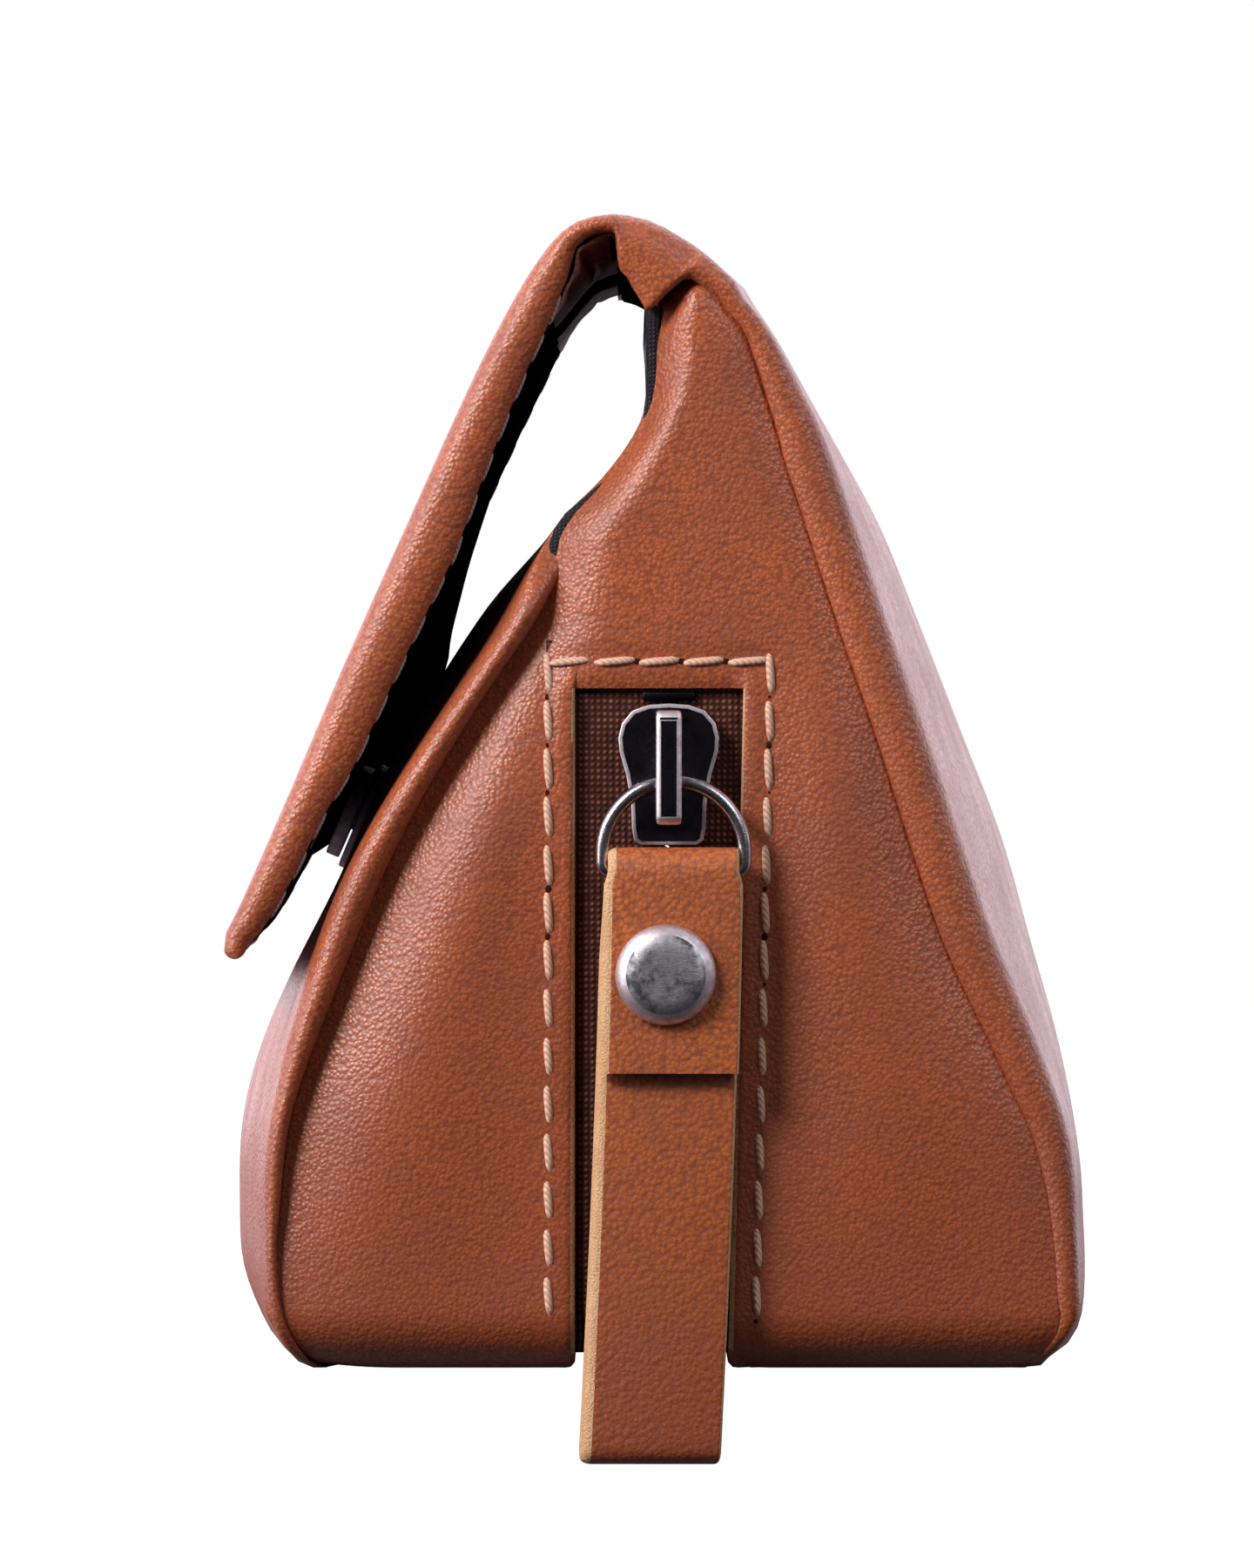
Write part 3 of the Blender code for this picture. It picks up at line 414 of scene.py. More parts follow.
def repeat(pattern, name, places):
    """Copies of one small shape, each with its own mesh, joined as one piece."""
    copies = []
    for place in places:
        data = pattern.data.copy()
        data.transform(place)
        copies.append(linked(name, data))
    bpy.data.objects.remove(pattern)
    return join(name, copies)


def refined(node, name, width, segments=3):
    """A part's own shape as a clean mesh with rounded edges."""
    flat, sharp = math.radians(1), math.radians(35)
    activate(nodes[node])
    bpy.ops.object.duplicate()
    piece = made(name)
    piece.parent = None
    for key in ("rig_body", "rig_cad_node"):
        del piece[key]
    piece.data.materials.clear()
    editing(piece, merge, lambda: bpy.ops.mesh.dissolve_limited(angle_limit=flat), outside)
    modifier(
        piece, "BEVEL", width=width, segments=segments, limit_method="ANGLE", angle_limit=sharp,
        use_clamp_overlap=True,
    )
    return smooth(piece, 35)


def dress(piece, material, body=None, stands_for=()):
    """The finish, the body that carries the piece, and the parts that it stands for."""
    if not piece.data.polygons:
        raise RuntimeError(piece.name + " has no faces")
    piece.data.materials.clear()
    piece.data.materials.append(material)
    if body is not None:
        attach(piece, body)
    if stands_for:
        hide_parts(*stands_for)
    return piece


def paint(piece, material, test):
    """Gives the faces that pass a test a second finish."""
    piece.data.materials.append(material)
    for face in piece.data.polygons:
        if test(face):
            face.material_index = 1


def square_to(path, i):
    """Square to a path of (y, z), at one of its points."""
    before, after = path[max(i - 1, 0)], path[min(i + 1, len(path) - 1)]
    along = Vector((0, after[0] - before[0], after[1] - before[1])).normalized()
    return Vector((0, -along.z, along.y))


class Graph:
    """The nodes of a material or of the world."""

    def __init__(self, tree):
        self.tree = tree

    def feed(self, socket, value):
        """Links a socket, or sets its value."""
        if isinstance(value, bpy.types.NodeSocket):
            self.tree.links.new(value, socket)
        else:
            socket.default_value = value

    def add(self, kind, output=0, settings=None, **inputs):
        """A new node. An input is called by its name, or by an underscore and its number."""
        node = self.tree.nodes.new("ShaderNode" + kind)
        for key, value in (settings or {}).items():
            setattr(node, key, value)
        for key, value in inputs.items():
            self.feed(node.inputs[int(key[1:]) if key[1:].isdigit() else key.replace("_", " ")], value)
        return node.outputs[output]

    def range(self, value, low, high, to_low, to_high):
        return self.add("MapRange", Value=value, From_Min=low, From_Max=high, To_Min=to_low, To_Max=to_high)

    def math(self, operation, first, second):
        return self.add("Math", settings={"operation": operation}, _0=first, _1=second)


class Recipe(Graph):
    """A material's nodes. Values that are the same all over are set on the shader itself."""

    def __init__(self, name, colour, roughness, **values):
        self.material = bpy.data.materials.new(name)
        self.material.use_nodes = True
        super().__init__(self.material.node_tree)
        self.shader = self.tree.nodes["Principled BSDF"]
        self.use(Base_Color=(*colour, 1), Roughness=roughness, **values)
        self.coordinates = self.tree.nodes.new("ShaderNodeTexCoord")

    def place(self, scale=(1, 1, 1), rotation=(0, 0, 0)):
        return self.add("Mapping", Vector=self.coordinates.outputs["Object"], Scale=scale, Rotation=rotation)

    def mix(self, share, first, second):
        first, second = (
            colour if isinstance(colour, bpy.types.NodeSocket) else (*colour, 1) for colour in (first, second)
        )
        return self.add("Mix", 2, {"data_type": "RGBA"}, _0=share, _6=first, _7=second)

    def use(self, **values):
        for key, value in values.items():
            self.feed(self.shader.inputs[key.replace("_", " ")], value)
        return self.material

    def bump(self, height, distance, strength=1.0, under=None):
        inputs = {"Height": height, "Distance": distance, "Strength": strength}
        if under is not None:
            inputs["Normal"] = under
        return self.add("Bump", **inputs)


def leather_finish(name, colour, deep, pale, grain, shine, darker=None):
    """Waxed leather: small pebbles with fine creases, uneven dye and a soft sheen. It can darken between two
    heights, towards the lower one: painted shade."""
    recipe = Recipe(
        name, colour, shine, Specular_IOR_Level=0.65, Sheen_Weight=0.04, Sheen_Roughness=0.35,
        Sheen_Tint=(0.85, 0.8, 1.0, 1),
    )
    at = recipe.place()
    warp = recipe.add("TexNoise", Vector=at, Scale=grain * 0.35, Detail=2)
    warp_by = recipe.add("TexNoise", 1, Vector=at, Scale=grain * 0.8, Detail=1)
    moved = recipe.add(
        "VectorMath", settings={"operation": "MULTIPLY_ADD"}, _0=warp_by, _1=(0.35 / grain,) * 3, _2=at
    )
    pebble = recipe.add("TexVoronoi", Vector=moved, Scale=grain)
    fine = recipe.add("TexNoise", Vector=at, Scale=grain * 3.2, Detail=3, Roughness=0.6)
    soft = recipe.add("TexNoise", Vector=at, Scale=grain * 0.05, Detail=4, Roughness=0.55)
    blotch_and_low_shade = recipe.range(soft, 0.3, 0.62, 0.35, 1)
    # Painted shade: the dye's blotches darken towards the lower of the two heights.
    if darker is not None:
        low, high, least = darker
        height_at = recipe.add("SeparateXYZ", 2, Vector=at)
        blotch_and_low_shade = recipe.math("MULTIPLY", blotch_and_low_shade, recipe.range(height_at, low, high, least, 1))
    valley = recipe.range(pebble, 0.35, 0.75, 0, 1)
    speck = recipe.range(fine, 0.45, 0.72, 0, 1)
    dots = recipe.add("TexNoise", Vector=at, Scale=grain * 1.1, Detail=2)
    dark_speck = recipe.range(dots, 0.5, 0.7, 0, 0.55)
    dyed = recipe.mix(blotch_and_low_shade, deep, colour)
    dyed = recipe.mix(recipe.math("MULTIPLY", valley, 0.8), dyed, deep)
    dyed = recipe.mix(dark_speck, dyed, deep)
    dyed = recipe.mix(recipe.math("MULTIPLY", speck, 0.35), dyed, pale)
    height = recipe.math("SUBTRACT", recipe.math("MULTIPLY", fine, 0.25), pebble)
    normal = recipe.bump(height, 0.00012, 0.7)
    swell = recipe.bump(warp, 0.0005, 0.06, normal)
    rough = recipe.math("ADD", recipe.range(soft, 0.3, 0.7, shine + 0.06, shine - 0.05),
                        recipe.math("MULTIPLY", valley, 0.12))
    return recipe.use(Base_Color=dyed, Roughness=rough, Normal=swell)


def woven_finish(name, colour, pale, threads, shine=0.85, gloss=0.25):
    """Woven cloth: crossing threads with a little unevenness."""
    recipe = Recipe(name, colour, shine, Specular_IOR_Level=gloss)
    at = recipe.place()
    across = recipe.add("TexWave", 0, {"bands_direction": "X"}, Vector=at, Scale=threads, Distortion=0.6)
    turned = recipe.place(rotation=(math.pi / 4, 0, 0))
    along = recipe.add(
        "TexWave", 0, {"bands_direction": "Z"}, Vector=turned, Scale=threads * 1.4, Distortion=0.6
    )
    height = recipe.math("MULTIPLY", across, along)
    uneven = recipe.add("TexNoise", Vector=at, Scale=threads * 1.7, Detail=3)
    shade = recipe.math("MULTIPLY", height, recipe.range(uneven, 0.35, 0.7, 0.2, 1.0))
    return recipe.use(
        Base_Color=recipe.mix(shade, colour, pale),
        Normal=recipe.bump(height, 0.00018, 0.9),
    )


def metal_finish(name, colour, dark, roughness, mottle, bumps=0.25, metallic=1.0):
    """Plated metal with tarnish that gathers in patches and fine scratches."""
    recipe = Recipe(name, colour, roughness, Metallic=metallic)
    at = recipe.place()
    patches = recipe.add("TexNoise", Vector=at, Scale=mottle, Detail=5, Roughness=0.7)
    scratches = recipe.add("TexNoise", Vector=recipe.place((1, 1, 9)), Scale=mottle * 3, Detail=3)
    tarnish = recipe.range(patches, 0.38, 0.62, 0, 1)
    rough = recipe.math("ADD", recipe.range(patches, 0.35, 0.7, roughness - 0.05, roughness + 0.12),
                        recipe.range(scratches, 0.3, 0.7, 0, 0.06))
    return recipe.use(
        Base_Color=recipe.mix(tarnish, colour, dark),
        Roughness=rough,
        Normal=recipe.bump(recipe.math("ADD", patches, scratches), 0.00006, bumps),
    )


def thread_finish(name, colour, pale):
    recipe = Recipe(name, colour, 0.6, Specular_IOR_Level=0.3, Sheen_Weight=0.2)
    at = recipe.place()
    ply = recipe.add("TexWave", 0, {"bands_direction": "DIAGONAL"}, Vector=at, Scale=900, Distortion=0.5)
    return recipe.use(Base_Color=recipe.mix(ply, colour, pale), Normal=recipe.bump(ply, 0.0001, 0.6))


# Needle holes as dark dots laid on the leather: painted shade where the holes are dark inside.
def hole_finish():
    recipe = Recipe("needle_hole_shade", (0.025, 0.006, 0.003), 0.9, Specular_IOR_Level=0.1)
    speck = recipe.add("TexNoise", Vector=recipe.place(), Scale=2500, Detail=2)
    return recipe.use(Base_Color=recipe.mix(speck, (0.012, 0.003, 0.002), (0.05, 0.014, 0.007)))


def all_finishes():
    looks = bpy.context.scene.pipe_bag_looks
    tan, deep, pale, strap_tan, strap_deep = (
        tuple(colour) for colour in (looks.tan, looks.tan_deep, looks.tan_pale, looks.strap, looks.strap_deep)
    )
    grain, shine = 1 / looks.grain, looks.shine
    return {
        # The tan darkens towards the bottom of the bag and the strap towards its lower end: painted shade.
        "tan": leather_finish("tan_leather", tan, deep, pale, grain, shine, darker=(0.002, 0.07, 0.45)),
        "strap": leather_finish(
            "strap_leather", strap_tan, strap_deep, pale, grain * 0.85, shine + 0.04,
            darker=(-0.012, 0.05, 0.1),
        ),
        "cut": leather_finish(
            "cut_edge", (0.72, 0.45, 0.24), (0.5, 0.25, 0.1), (0.8, 0.55, 0.33), grain * 2, 0.6
        ),
        # The turned-in leather is partly its own mauve-brown and partly painted light: lightened so the
        # shaded underside of the flap's root looks lit.
        "turned": leather_finish(
            "turned_leather", (0.46, 0.17, 0.14), (0.18, 0.055, 0.055), (0.66, 0.34, 0.3), grain, 0.45
        ),
        "lining": woven_finish(
            "black_lining", (0.003, 0.0025, 0.0035), (0.009, 0.0075, 0.01), 900, shine=1.0, gloss=0.0
        ),
        "binding": woven_finish(
            "grey_binding", (0.016, 0.014, 0.018), (0.11, 0.1, 0.125), 700, shine=0.9, gloss=0.2
        ),
        "tape": woven_finish("brown_tape", (0.045, 0.011, 0.008), (0.4, 0.15, 0.08), 480),
        "coil": metal_finish("brown_coil", (0.05, 0.014, 0.01), (0.02, 0.006, 0.004), 0.4, 700),
        "stop": metal_finish("black_metal", (0.02, 0.02, 0.022), (0.01, 0.01, 0.012), 0.35, 600),
        "gunmetal": metal_finish("gunmetal", (0.10, 0.09, 0.11), (0.03, 0.028, 0.04), 0.22, 500),
        # Painted highlight: pale, matt metal on the rims of the slider and the rivet, so they look lit.
        "rim_highlight": metal_finish("painted_rim_highlight", (0.95, 0.88, 0.9), (0.6, 0.54, 0.58), 0.42, 900),
        "ring": metal_finish("ring_steel", (0.6, 0.57, 0.59), (0.35, 0.32, 0.34), 0.2, 500),
        "silver": metal_finish("antique_silver", (0.62, 0.6, 0.63), (0.1, 0.1, 0.12), 0.42, 560, 0.5),
        "snap": metal_finish("snap_steel", (0.56, 0.52, 0.6), (0.38, 0.36, 0.43), 0.5, 500, metallic=0.5),
        "thread": thread_finish("stitching_thread", (0.58, 0.32, 0.21), (0.85, 0.56, 0.42)),
        "grey_thread": thread_finish("lining_thread", (0.3, 0.27, 0.28), (0.5, 0.46, 0.47)),
        "hole": hole_finish(),
    }


materials = {}


def finish(key):
    """One of the bag's materials, which are all made when the first is asked for."""
    if not materials:
        materials.update(all_finishes())
    return materials[key]


class LeatherLooks(bpy.types.PropertyGroup):
    tan: FloatVectorProperty(
        name="Tan", description="Colour of the bag's leather", subtype="COLOR", default=(0.49, 0.116, 0.036)
    )
    # Near the bottom the leather also turns towards this colour: painted shade.
    tan_deep: FloatVectorProperty(
        name="Deep tan", description="Colour in the grain and where the dye is dense", subtype="COLOR",
        default=(0.23, 0.046, 0.018),
    )
    tan_pale: FloatVectorProperty(
        name="Pale tan", description="Colour of the worn tips of the grain", subtype="COLOR",
        default=(0.55, 0.19, 0.085),
    )
    strap: FloatVectorProperty(
        name="Strap", description="Colour of the pull's strap", subtype="COLOR", default=(0.60, 0.155, 0.030)
    )
    # Towards its lower end the strap turns to this colour: painted shade.
    strap_deep: FloatVectorProperty(
        name="Deep strap", description="Colour of the strap's grain and of its handled end", subtype="COLOR",
        default=(0.24, 0.05, 0.017),
    )
    grain: FloatProperty(
        name="Grain", description="Width of one pebble of the grain", unit="LENGTH", default=0.00046
    )
    shine: FloatProperty(
        name="Roughness", description="Roughness of the waxed face", subtype="FACTOR", default=0.34
    )


class SeamSizes(bpy.types.PropertyGroup):
    groove_front: FloatProperty(
        name="Front groove", description="Depth of the front seam's groove", unit="LENGTH", default=0.0029
    )
    groove_back: FloatProperty(
        name="Back groove", description="Depth of the back seam's groove", unit="LENGTH", default=0.0008
    )
    round_back: FloatProperty(
        name="Back rounding", description="How far the end panel rounds over beside the back seam",
        unit="LENGTH", default=0.0042,
    )
    proud: FloatProperty(
        name="Bead", description="How far a panel's rolled end stands out of the end panel", unit="LENGTH",
        default=0.0005,
    )
    wall: FloatProperty(
        name="Padded wall", description="Thickness of a panel with its padding", unit="LENGTH", default=0.0036
    )
    leather: FloatProperty(
        name="Leather", description="Thickness of the end panel's leather", unit="LENGTH", default=0.0012
    )
    pillow: FloatProperty(
        name="Pillow", description="Swelling of the end panel beside the zip", unit="LENGTH", default=0.0011
    )


class StitchSizes(bpy.types.PropertyGroup):
    pitch: FloatProperty(name="Pitch", description="From a stitch to the next", unit="LENGTH", default=0.005)
    length: FloatProperty(name="Length", description="Length of a stitch", unit="LENGTH", default=0.0045)
    width: FloatProperty(name="Width", description="Width of the thread", unit="LENGTH", default=0.00085)
    margin: FloatProperty(
        name="Margin", description="From the zip's opening out to the stitches", unit="LENGTH", default=0.0028
    )


class StageSizes(bpy.types.PropertyGroup):
    distance: FloatProperty(
        name="Distance", description="From the camera to the bag's near end", unit="LENGTH", default=2.0
    )
    height: FloatProperty(
        name="Picture height", description="Height that the picture takes in at the near end", unit="LENGTH",
        default=0.16364,
    )
    across: FloatProperty(
        name="Across", description="From the zip's line to the camera's line, to the front", unit="LENGTH",
        default=0.00436,
    )
    level: FloatProperty(
        name="Level", description="Height of the camera above the floor", unit="LENGTH", default=0.0611
    )
    key: FloatProperty(name="Key light", description="Power of the large light", unit="POWER", default=7.0)
    fill: FloatProperty(name="Fill light", description="Power of the second light", unit="POWER", default=1.6)
    left: FloatProperty(name="Left light", description="Power of the left light", unit="POWER", default=3.2)
    front_glow: FloatProperty(
        name="Front glow", description="Strength of the room's light from the camera's side", default=0.06
    )


# Depth of the flap's rolled end by the distance from the hinge, in metres, and the wall between the ends.
FLAP_END_DEPTHS = (
    (0, 0.0022), (0.003, 0.0026), (0.0054, 0.003), (0.0061, 0.0037), (0.0066, 0.0056), (0.007, 0.0074),
    (0.0074, 0.0082), (0.008, 0.0085), (0.0088, 0.0081), (0.0102, 0.0075), (0.0139, 0.0062),
    (0.0152, 0.0059), (0.0158, 0.0053), (0.0165, 0.0021), (0.0171, 0.0018), (0.0186, 0.0018),
    (0.0225, 0.0022), (0.0262, 0.0036),
    (0.031, 0.0044), (0.042, 0.0049), (0.050, 0.0053), (0.058, 0.0059), (0.078, 0.0053), (0.083, 0.0051),
    (0.088, 0.0043), (0.096, 0.0039), (0.1016, 0.0033), (0.1057, 0.0024), (0.109, 0.0020),
)
FLAP_WALLS = (
    (0, 0.0030), (0.006, 0.0022), (0.012, 0.0040), (0.020, 0.0044), (0.028, 0.0042), (0.036, 0.0036),
    (0.084, 0.0036), (0.092, 0.0030), (0.100, 0.0021), (0.109, 0.0016),
)
FAR_DEPTH = 0.0046  # the deepest that a panel reaches at the far end
FACE_COLUMNS = 26  # from the middle of a panel's outer face to its rolled end
ROLL_COLUMNS = 16  # round the rolled end
INNER_SHARES = (0.02, 0.08, 0.2, 0.4, 0.65, 1)  # the columns of the inner face
FACE_CROWDING = 1.6  # how much closer the columns stand towards the end
ROLL_FULLNESS = 0.85  # of the roll's curve, where 1 is round
ROLL_START = 0.0024  # from a panel's end to where its outer face starts to roll over
ROLL_SHARE = 0.55  # the most that start can be of the roll's depth
WALL_THINS = (0.66, 0.1)  # where the front's wall turns from padded to plain leather, as shares of its line


# How the end panel rounds over to the front seam, by height in metres: depth at the seam, how far the
# rounding reaches from it, how sharply it starts (2 is soft), and how far the leather laps over the front.
FRONT_DEPTH = (
    (0, 0.3), (0.01, 0.4), (0.034, 1), (0.075, 1.12), (0.088, 1.1), (0.097, 0.85), (0.104, 1), (0.112, 1),
)
FRONT_REACH = (
    (0, 0.0105), (0.050, 0.0130), (0.064, 0.0125), (0.072, 0.0100), (0.080, 0.0066), (0.0865, 0.0058),
    (0.091, 0.0045), (0.0956, 0.0027), (0.0997, 0.0026), (0.1034, 0.0034), (0.107, 0.0038), (0.112, 0.0038),
)
FRONT_POWER = ((0, 2.1), (0.062, 2.0), (0.082, 1.45), (0.112, 1.4))
FRONT_LAP = ((0, 0), (0.078, 0), (0.087, 0.72), (0.093, 0.7), (0.097, 0.72), (0.101, 0.2), (0.112, 0.06))


def end_edge(side, z):
    """Where the end panel's leather ends beside the front (-1) or back (1) seam."""
    if side > 0:
        return seam_x(1, z)
    band = seam_width * through(BAND_SHARES[-1], z / end_top)
    return seam_x(-1, z) - band * straight(FRONT_LAP, z)


def groove_at(side, z):
    """The depth of the groove beside a seam, which runs out towards the base."""
    sizes = bpy.context.scene.pipe_bag_seams
    if side > 0:
        at_base = 0.3
        return sizes.groove_back * (at_base + (1 - at_base) * eased(z, 0.004, 0.034))
    return sizes.groove_front * through(FRONT_DEPTH, z)


def proud_at(side, z):
    """How far a rolled end stands out, least at the base. Beside the neck it lies back, out of sight."""
    sizes = bpy.context.scene.pipe_bag_seams
    at_base = 0.2
    neck = eased(z, 0.079, 0.010) if side < 0 else 0
    return sizes.proud * (at_base + (1 - at_base) * eased(z, 0.004, 0.03)) * (1 - neck) - neck_recess * neck


def thinned(share):
    return eased(share, *WALL_THINS)


def half_section(half, band, thick, groove, proud, start):
    """Half of a padded panel's section as (y from the middle, depth), from the middle of its outer face
    round the rolled end to the middle of its inner face."""
    points = []
    for i in range(FACE_COLUMNS + 1):
        share = 1 - (1 - i / FACE_COLUMNS) ** FACE_CROWDING
        points.append(((half - start) * share, 0))
    for i in range(1, ROLL_COLUMNS + 1):
        angle = math.pi * i / ROLL_COLUMNS
        root = start + (groove - start) * i / ROLL_COLUMNS
        out = root - (root + proud) * math.sin(angle) ** ROLL_FULLNESS
        points.append((half - out, band / 2 * (1 - math.cos(angle))))
    fold = half - groove
    for share in INNER_SHARES:
        points.append((fold * (1 - share), band + (thick - band) * smooth_step(share / INNER_SHARES[2])))
    return points


def swing_at(at, y):
    """The flap hangs a little askew: how far it stands out, most at its edge and at the far end."""
    return askew * eased(at, askew_from, askew_over) * (y / half_length + 1) / 2


def half_at(distance, z):
    return half_length_at(z) if distance < hinge_at else half_length


def panel_point(line, distance, spot, far):
    """A place on or under a panel: at a distance along its line, and at spot = (y, depth)."""
    end_x, middle_x, z = line.at(distance)
    y, depth = spot
    half = half_at(distance, z)
    share = 1 - min(abs(y) / half, 1) ** bulge_power
    inward = line.inward(distance)
    swing = swing_at(distance - hinge_at, y if far else -y)
    return Vector((
        end_x + (middle_x - end_x) * share + inward.x * depth - swing,
        y if far else -y,
        z + inward.z * depth,
    ))


def panel_loft(name, line, side, distances, band_at, wall_at, lift_at=lambda distance: 0):
    """A padded panel: the same loop of columns at each distance along its outer line."""
    sections = []
    for distance in distances:
        _, _, z = line.at(distance)
        band, proud = band_at(distance), proud_at(side, z)
        hidden = max(GAP - proud, 0)
        start = max(min(ROLL_START, band * ROLL_SHARE), hidden)
        groove = max(groove_at(side, z), hidden)
        seam = half_section(half_at(distance, z), band, wall_at(distance), groove, proud, start)
        sections.append([(y, depth + lift_at(distance)) for y, depth in seam])
    count = len(sections[0])
    loop = [(k, False) for k in range(count)] + [(k, True) for k in range(count - 2, -1, -1)]

    def place(i, j):
        k, far = loop[i]
        y, depth = sections[j][k]
        return panel_point(line, distances[j], (y, min(depth, FAR_DEPTH) if far else depth), far)

    return smooth(loft(name, len(loop), len(distances), place), 60)


def seam_band(line, side, distance):
    """How deep the rolled end reaches from the outer face to the seam."""
    end_x, _, z = line.at(distance)
    return max(abs(end_x - seam_x(side, z)) * abs(line.inward(distance).x), GAP * 4)


def front_panel():
    sizes = bpy.context.scene.pipe_bag_seams
    top = front_line.length - GAP
    rows = 76
    bare_wall = sizes.leather * 1.3

    def wall_at(distance):
        fade = thinned(distance / top)
        return sizes.wall * (1 - fade) + bare_wall * fade

    piece = panel_loft(
        "front_leather", front_line, -1, [top * i / rows for i in range(rows + 1)],
        lambda distance: seam_band(front_line, -1, distance), wall_at,
    )
    dress(piece, finish("tan"), "bag", ("front_panel", "front_foam"))


# Rows added where the flap's rolled end changes its depth quickly, by distance from the hinge in metres.
ROOT_ROWS = (
    0.0056, 0.0060, 0.0063, 0.0066, 0.0068, 0.0070, 0.0073, 0.0076, 0.0080, 0.0084, 0.0153, 0.0157, 0.0159,
    0.0161, 0.0163, 0.0165, 0.0169,
)


def back_and_flap():
    """One piece of leather runs up the back, over the top and down the front as the flap."""
    sizes = bpy.context.scene.pipe_bag_seams
    total = back_line.length
    rows, tip_rows = 120, 6
    tip = 0.0012  # length of the flap's rounded edge
    least = 0.12  # thickness left at its very edge, as a share
    fade_from = 0.86  # where the back's wall starts to turn into the flap's, as a share of the back's line
    distances = [(total - tip) * i / rows for i in range(rows + 1)] + [hinge_at + at for at in ROOT_ROWS]
    distances += [total - tip + tip * math.sin(math.pi / 2 * i / tip_rows) for i in range(1, tip_rows + 1)]
    distances.sort()

    def shrink(distance):
        left = min(max((total - distance) / tip, 0), 1)
        return max(math.sqrt(1 - (1 - left) ** 2), least)

    def band_at(distance):
        if distance < hinge_at:
            return seam_band(back_line, 1, distance)
        return straight(FLAP_END_DEPTHS, distance - hinge_at) * shrink(distance)

    def lift_at(distance):
        return straight(FLAP_END_DEPTHS, max(distance - hinge_at, 0)) * (1 - shrink(distance)) / 2

    def wall_at(distance):
        if distance < hinge_at:
            fade = eased(distance / hinge_at, fade_from, 1 - fade_from)
            return sizes.wall * (1 - fade) + straight(FLAP_WALLS, 0) * fade
        return straight(FLAP_WALLS, distance - hinge_at) * shrink(distance)

    piece = panel_loft("back_and_flap_leather", back_line, 1, distances, band_at, wall_at, lift_at)
    dress(piece, finish("tan"), None, ("back_panel", "back_foam", "flap_leather", "flap_foam"))
    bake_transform(piece)


def strip_rows():
    """The strip of leather that runs up both ends and under the base: (y, z, outward y, outward z) of each
    row, and which row lies at the top of the zip's opening."""
    step = 0.0012  # from row to row up the ends
    fold_rows, corner_rows, base_rows = 4, 12, 44
    fold_back, fold_up = 0.0022, 0.0026  # how far the strip's top end goes on under the flap's root
    rise = math.ceil((end_top - corner_radius) / step)
    heights = [corner_radius + (end_top - corner_radius) * i / rise for i in range(rise, 0, -1)]
    nearest = min(range(rise), key=lambda k: abs(heights[k] - window_top))
    heights[nearest] = window_top
    rows = [
        (-half_length + fold_back * (i / fold_rows) ** 2, end_top + fold_up * i / fold_rows, -1, 0)
        for i in range(fold_rows, 0, -1)
    ]
    rows += [(-half_length, z, -1, 0) for z in heights]
    for i in range(corner_rows + 1):
        angle = math.pi / 2 * i / corner_rows
        rows.append((
            -half_length + corner_radius * (1 - math.cos(angle)), corner_radius * (1 - math.sin(angle)),
            -math.cos(angle), -math.sin(angle),
        ))
    inner = half_length - corner_radius
    under = [(-inner + 2 * inner * i / base_rows, 0, 0, -1) for i in range(1, base_rows)]
    mirrored = [(-y, z, -out_y, out_z) for y, z, out_y, out_z in reversed(rows)]
    return rows + under + mirrored, nearest + fold_rows


def window_x(side, z):
    """The edge of the zip's opening."""
    if side < 0:
        return window_front
    return window_back_low + window_widening * min(max(z, 0) / window_top, 1)


# The line where the end panel goes behind the flap's root: from the zip's line and the base, in metres.
CREASE = ((-0.0010, 0.1096), (0.0022, 0.1139))
CREASE_DEPTH = 0.0017
CREASE_REACH = 0.0019


def crease_at(x, z):
    """How far the end panel dips towards the crease, and goes on behind the flap's root."""
    (x0, z0), (x1, z1) = CREASE
    away = ((x - zip_x - x0) * (z1 - z0) - (z - z0) * (x1 - x0)) / math.dist(*CREASE)
    if away > CREASE_REACH:
        return 0
    return CREASE_DEPTH * (1 - max(away, 0) / CREASE_REACH) ** 2 - min(away, 0) * 0.9


def end_relief(x, z):
    """How far the end panel's face lies under its flat place: rolled at the seams, swollen between, drawn in
    at the stitches and folded at the zip's opening."""
    sizes, margin = bpy.context.scene.pipe_bag_seams, bpy.context.scene.pipe_bag_stitches.margin
    fold, fold_depth = 0.0009, 0.0006  # of the rounded edge of the opening
    dip, dip_width = 0.00026, 0.0005  # where the stitches draw the leather in
    depth = crease_at(x, z)
    front_rounding = (-1, straight(FRONT_REACH, z), straight(FRONT_POWER, z))
    for side, reach, power in (front_rounding, (1, sizes.round_back, 2)):
        away = max(side * (end_edge(side, z) - x), 0)
        if away < reach:
            depth += groove_at(side, z) * (1 - away / reach) ** power
    side = -1 if x < zip_x else 1
    edge = window_x(side, z)
    beside = side * (x - edge)
    from_window = max(beside, z - window_top)
    if 0 <= from_window < fold:
        depth += fold_depth * (1 - math.sqrt(1 - (1 - from_window / fold) ** 2))
    depth += dip * math.exp(-(((from_window - margin) / dip_width) ** 2))
    if beside > margin:
        room = abs(end_edge(side, z) - edge) - margin
        share = min((beside - margin) / max(room, GAP), 1)
        level = eased(z, 0, 0.03) * (1 - eased(z, window_top * 0.72, window_top * 0.4))
        depth -= sizes.pillow * math.sin(math.pi * share) ** 2 * level
    return depth


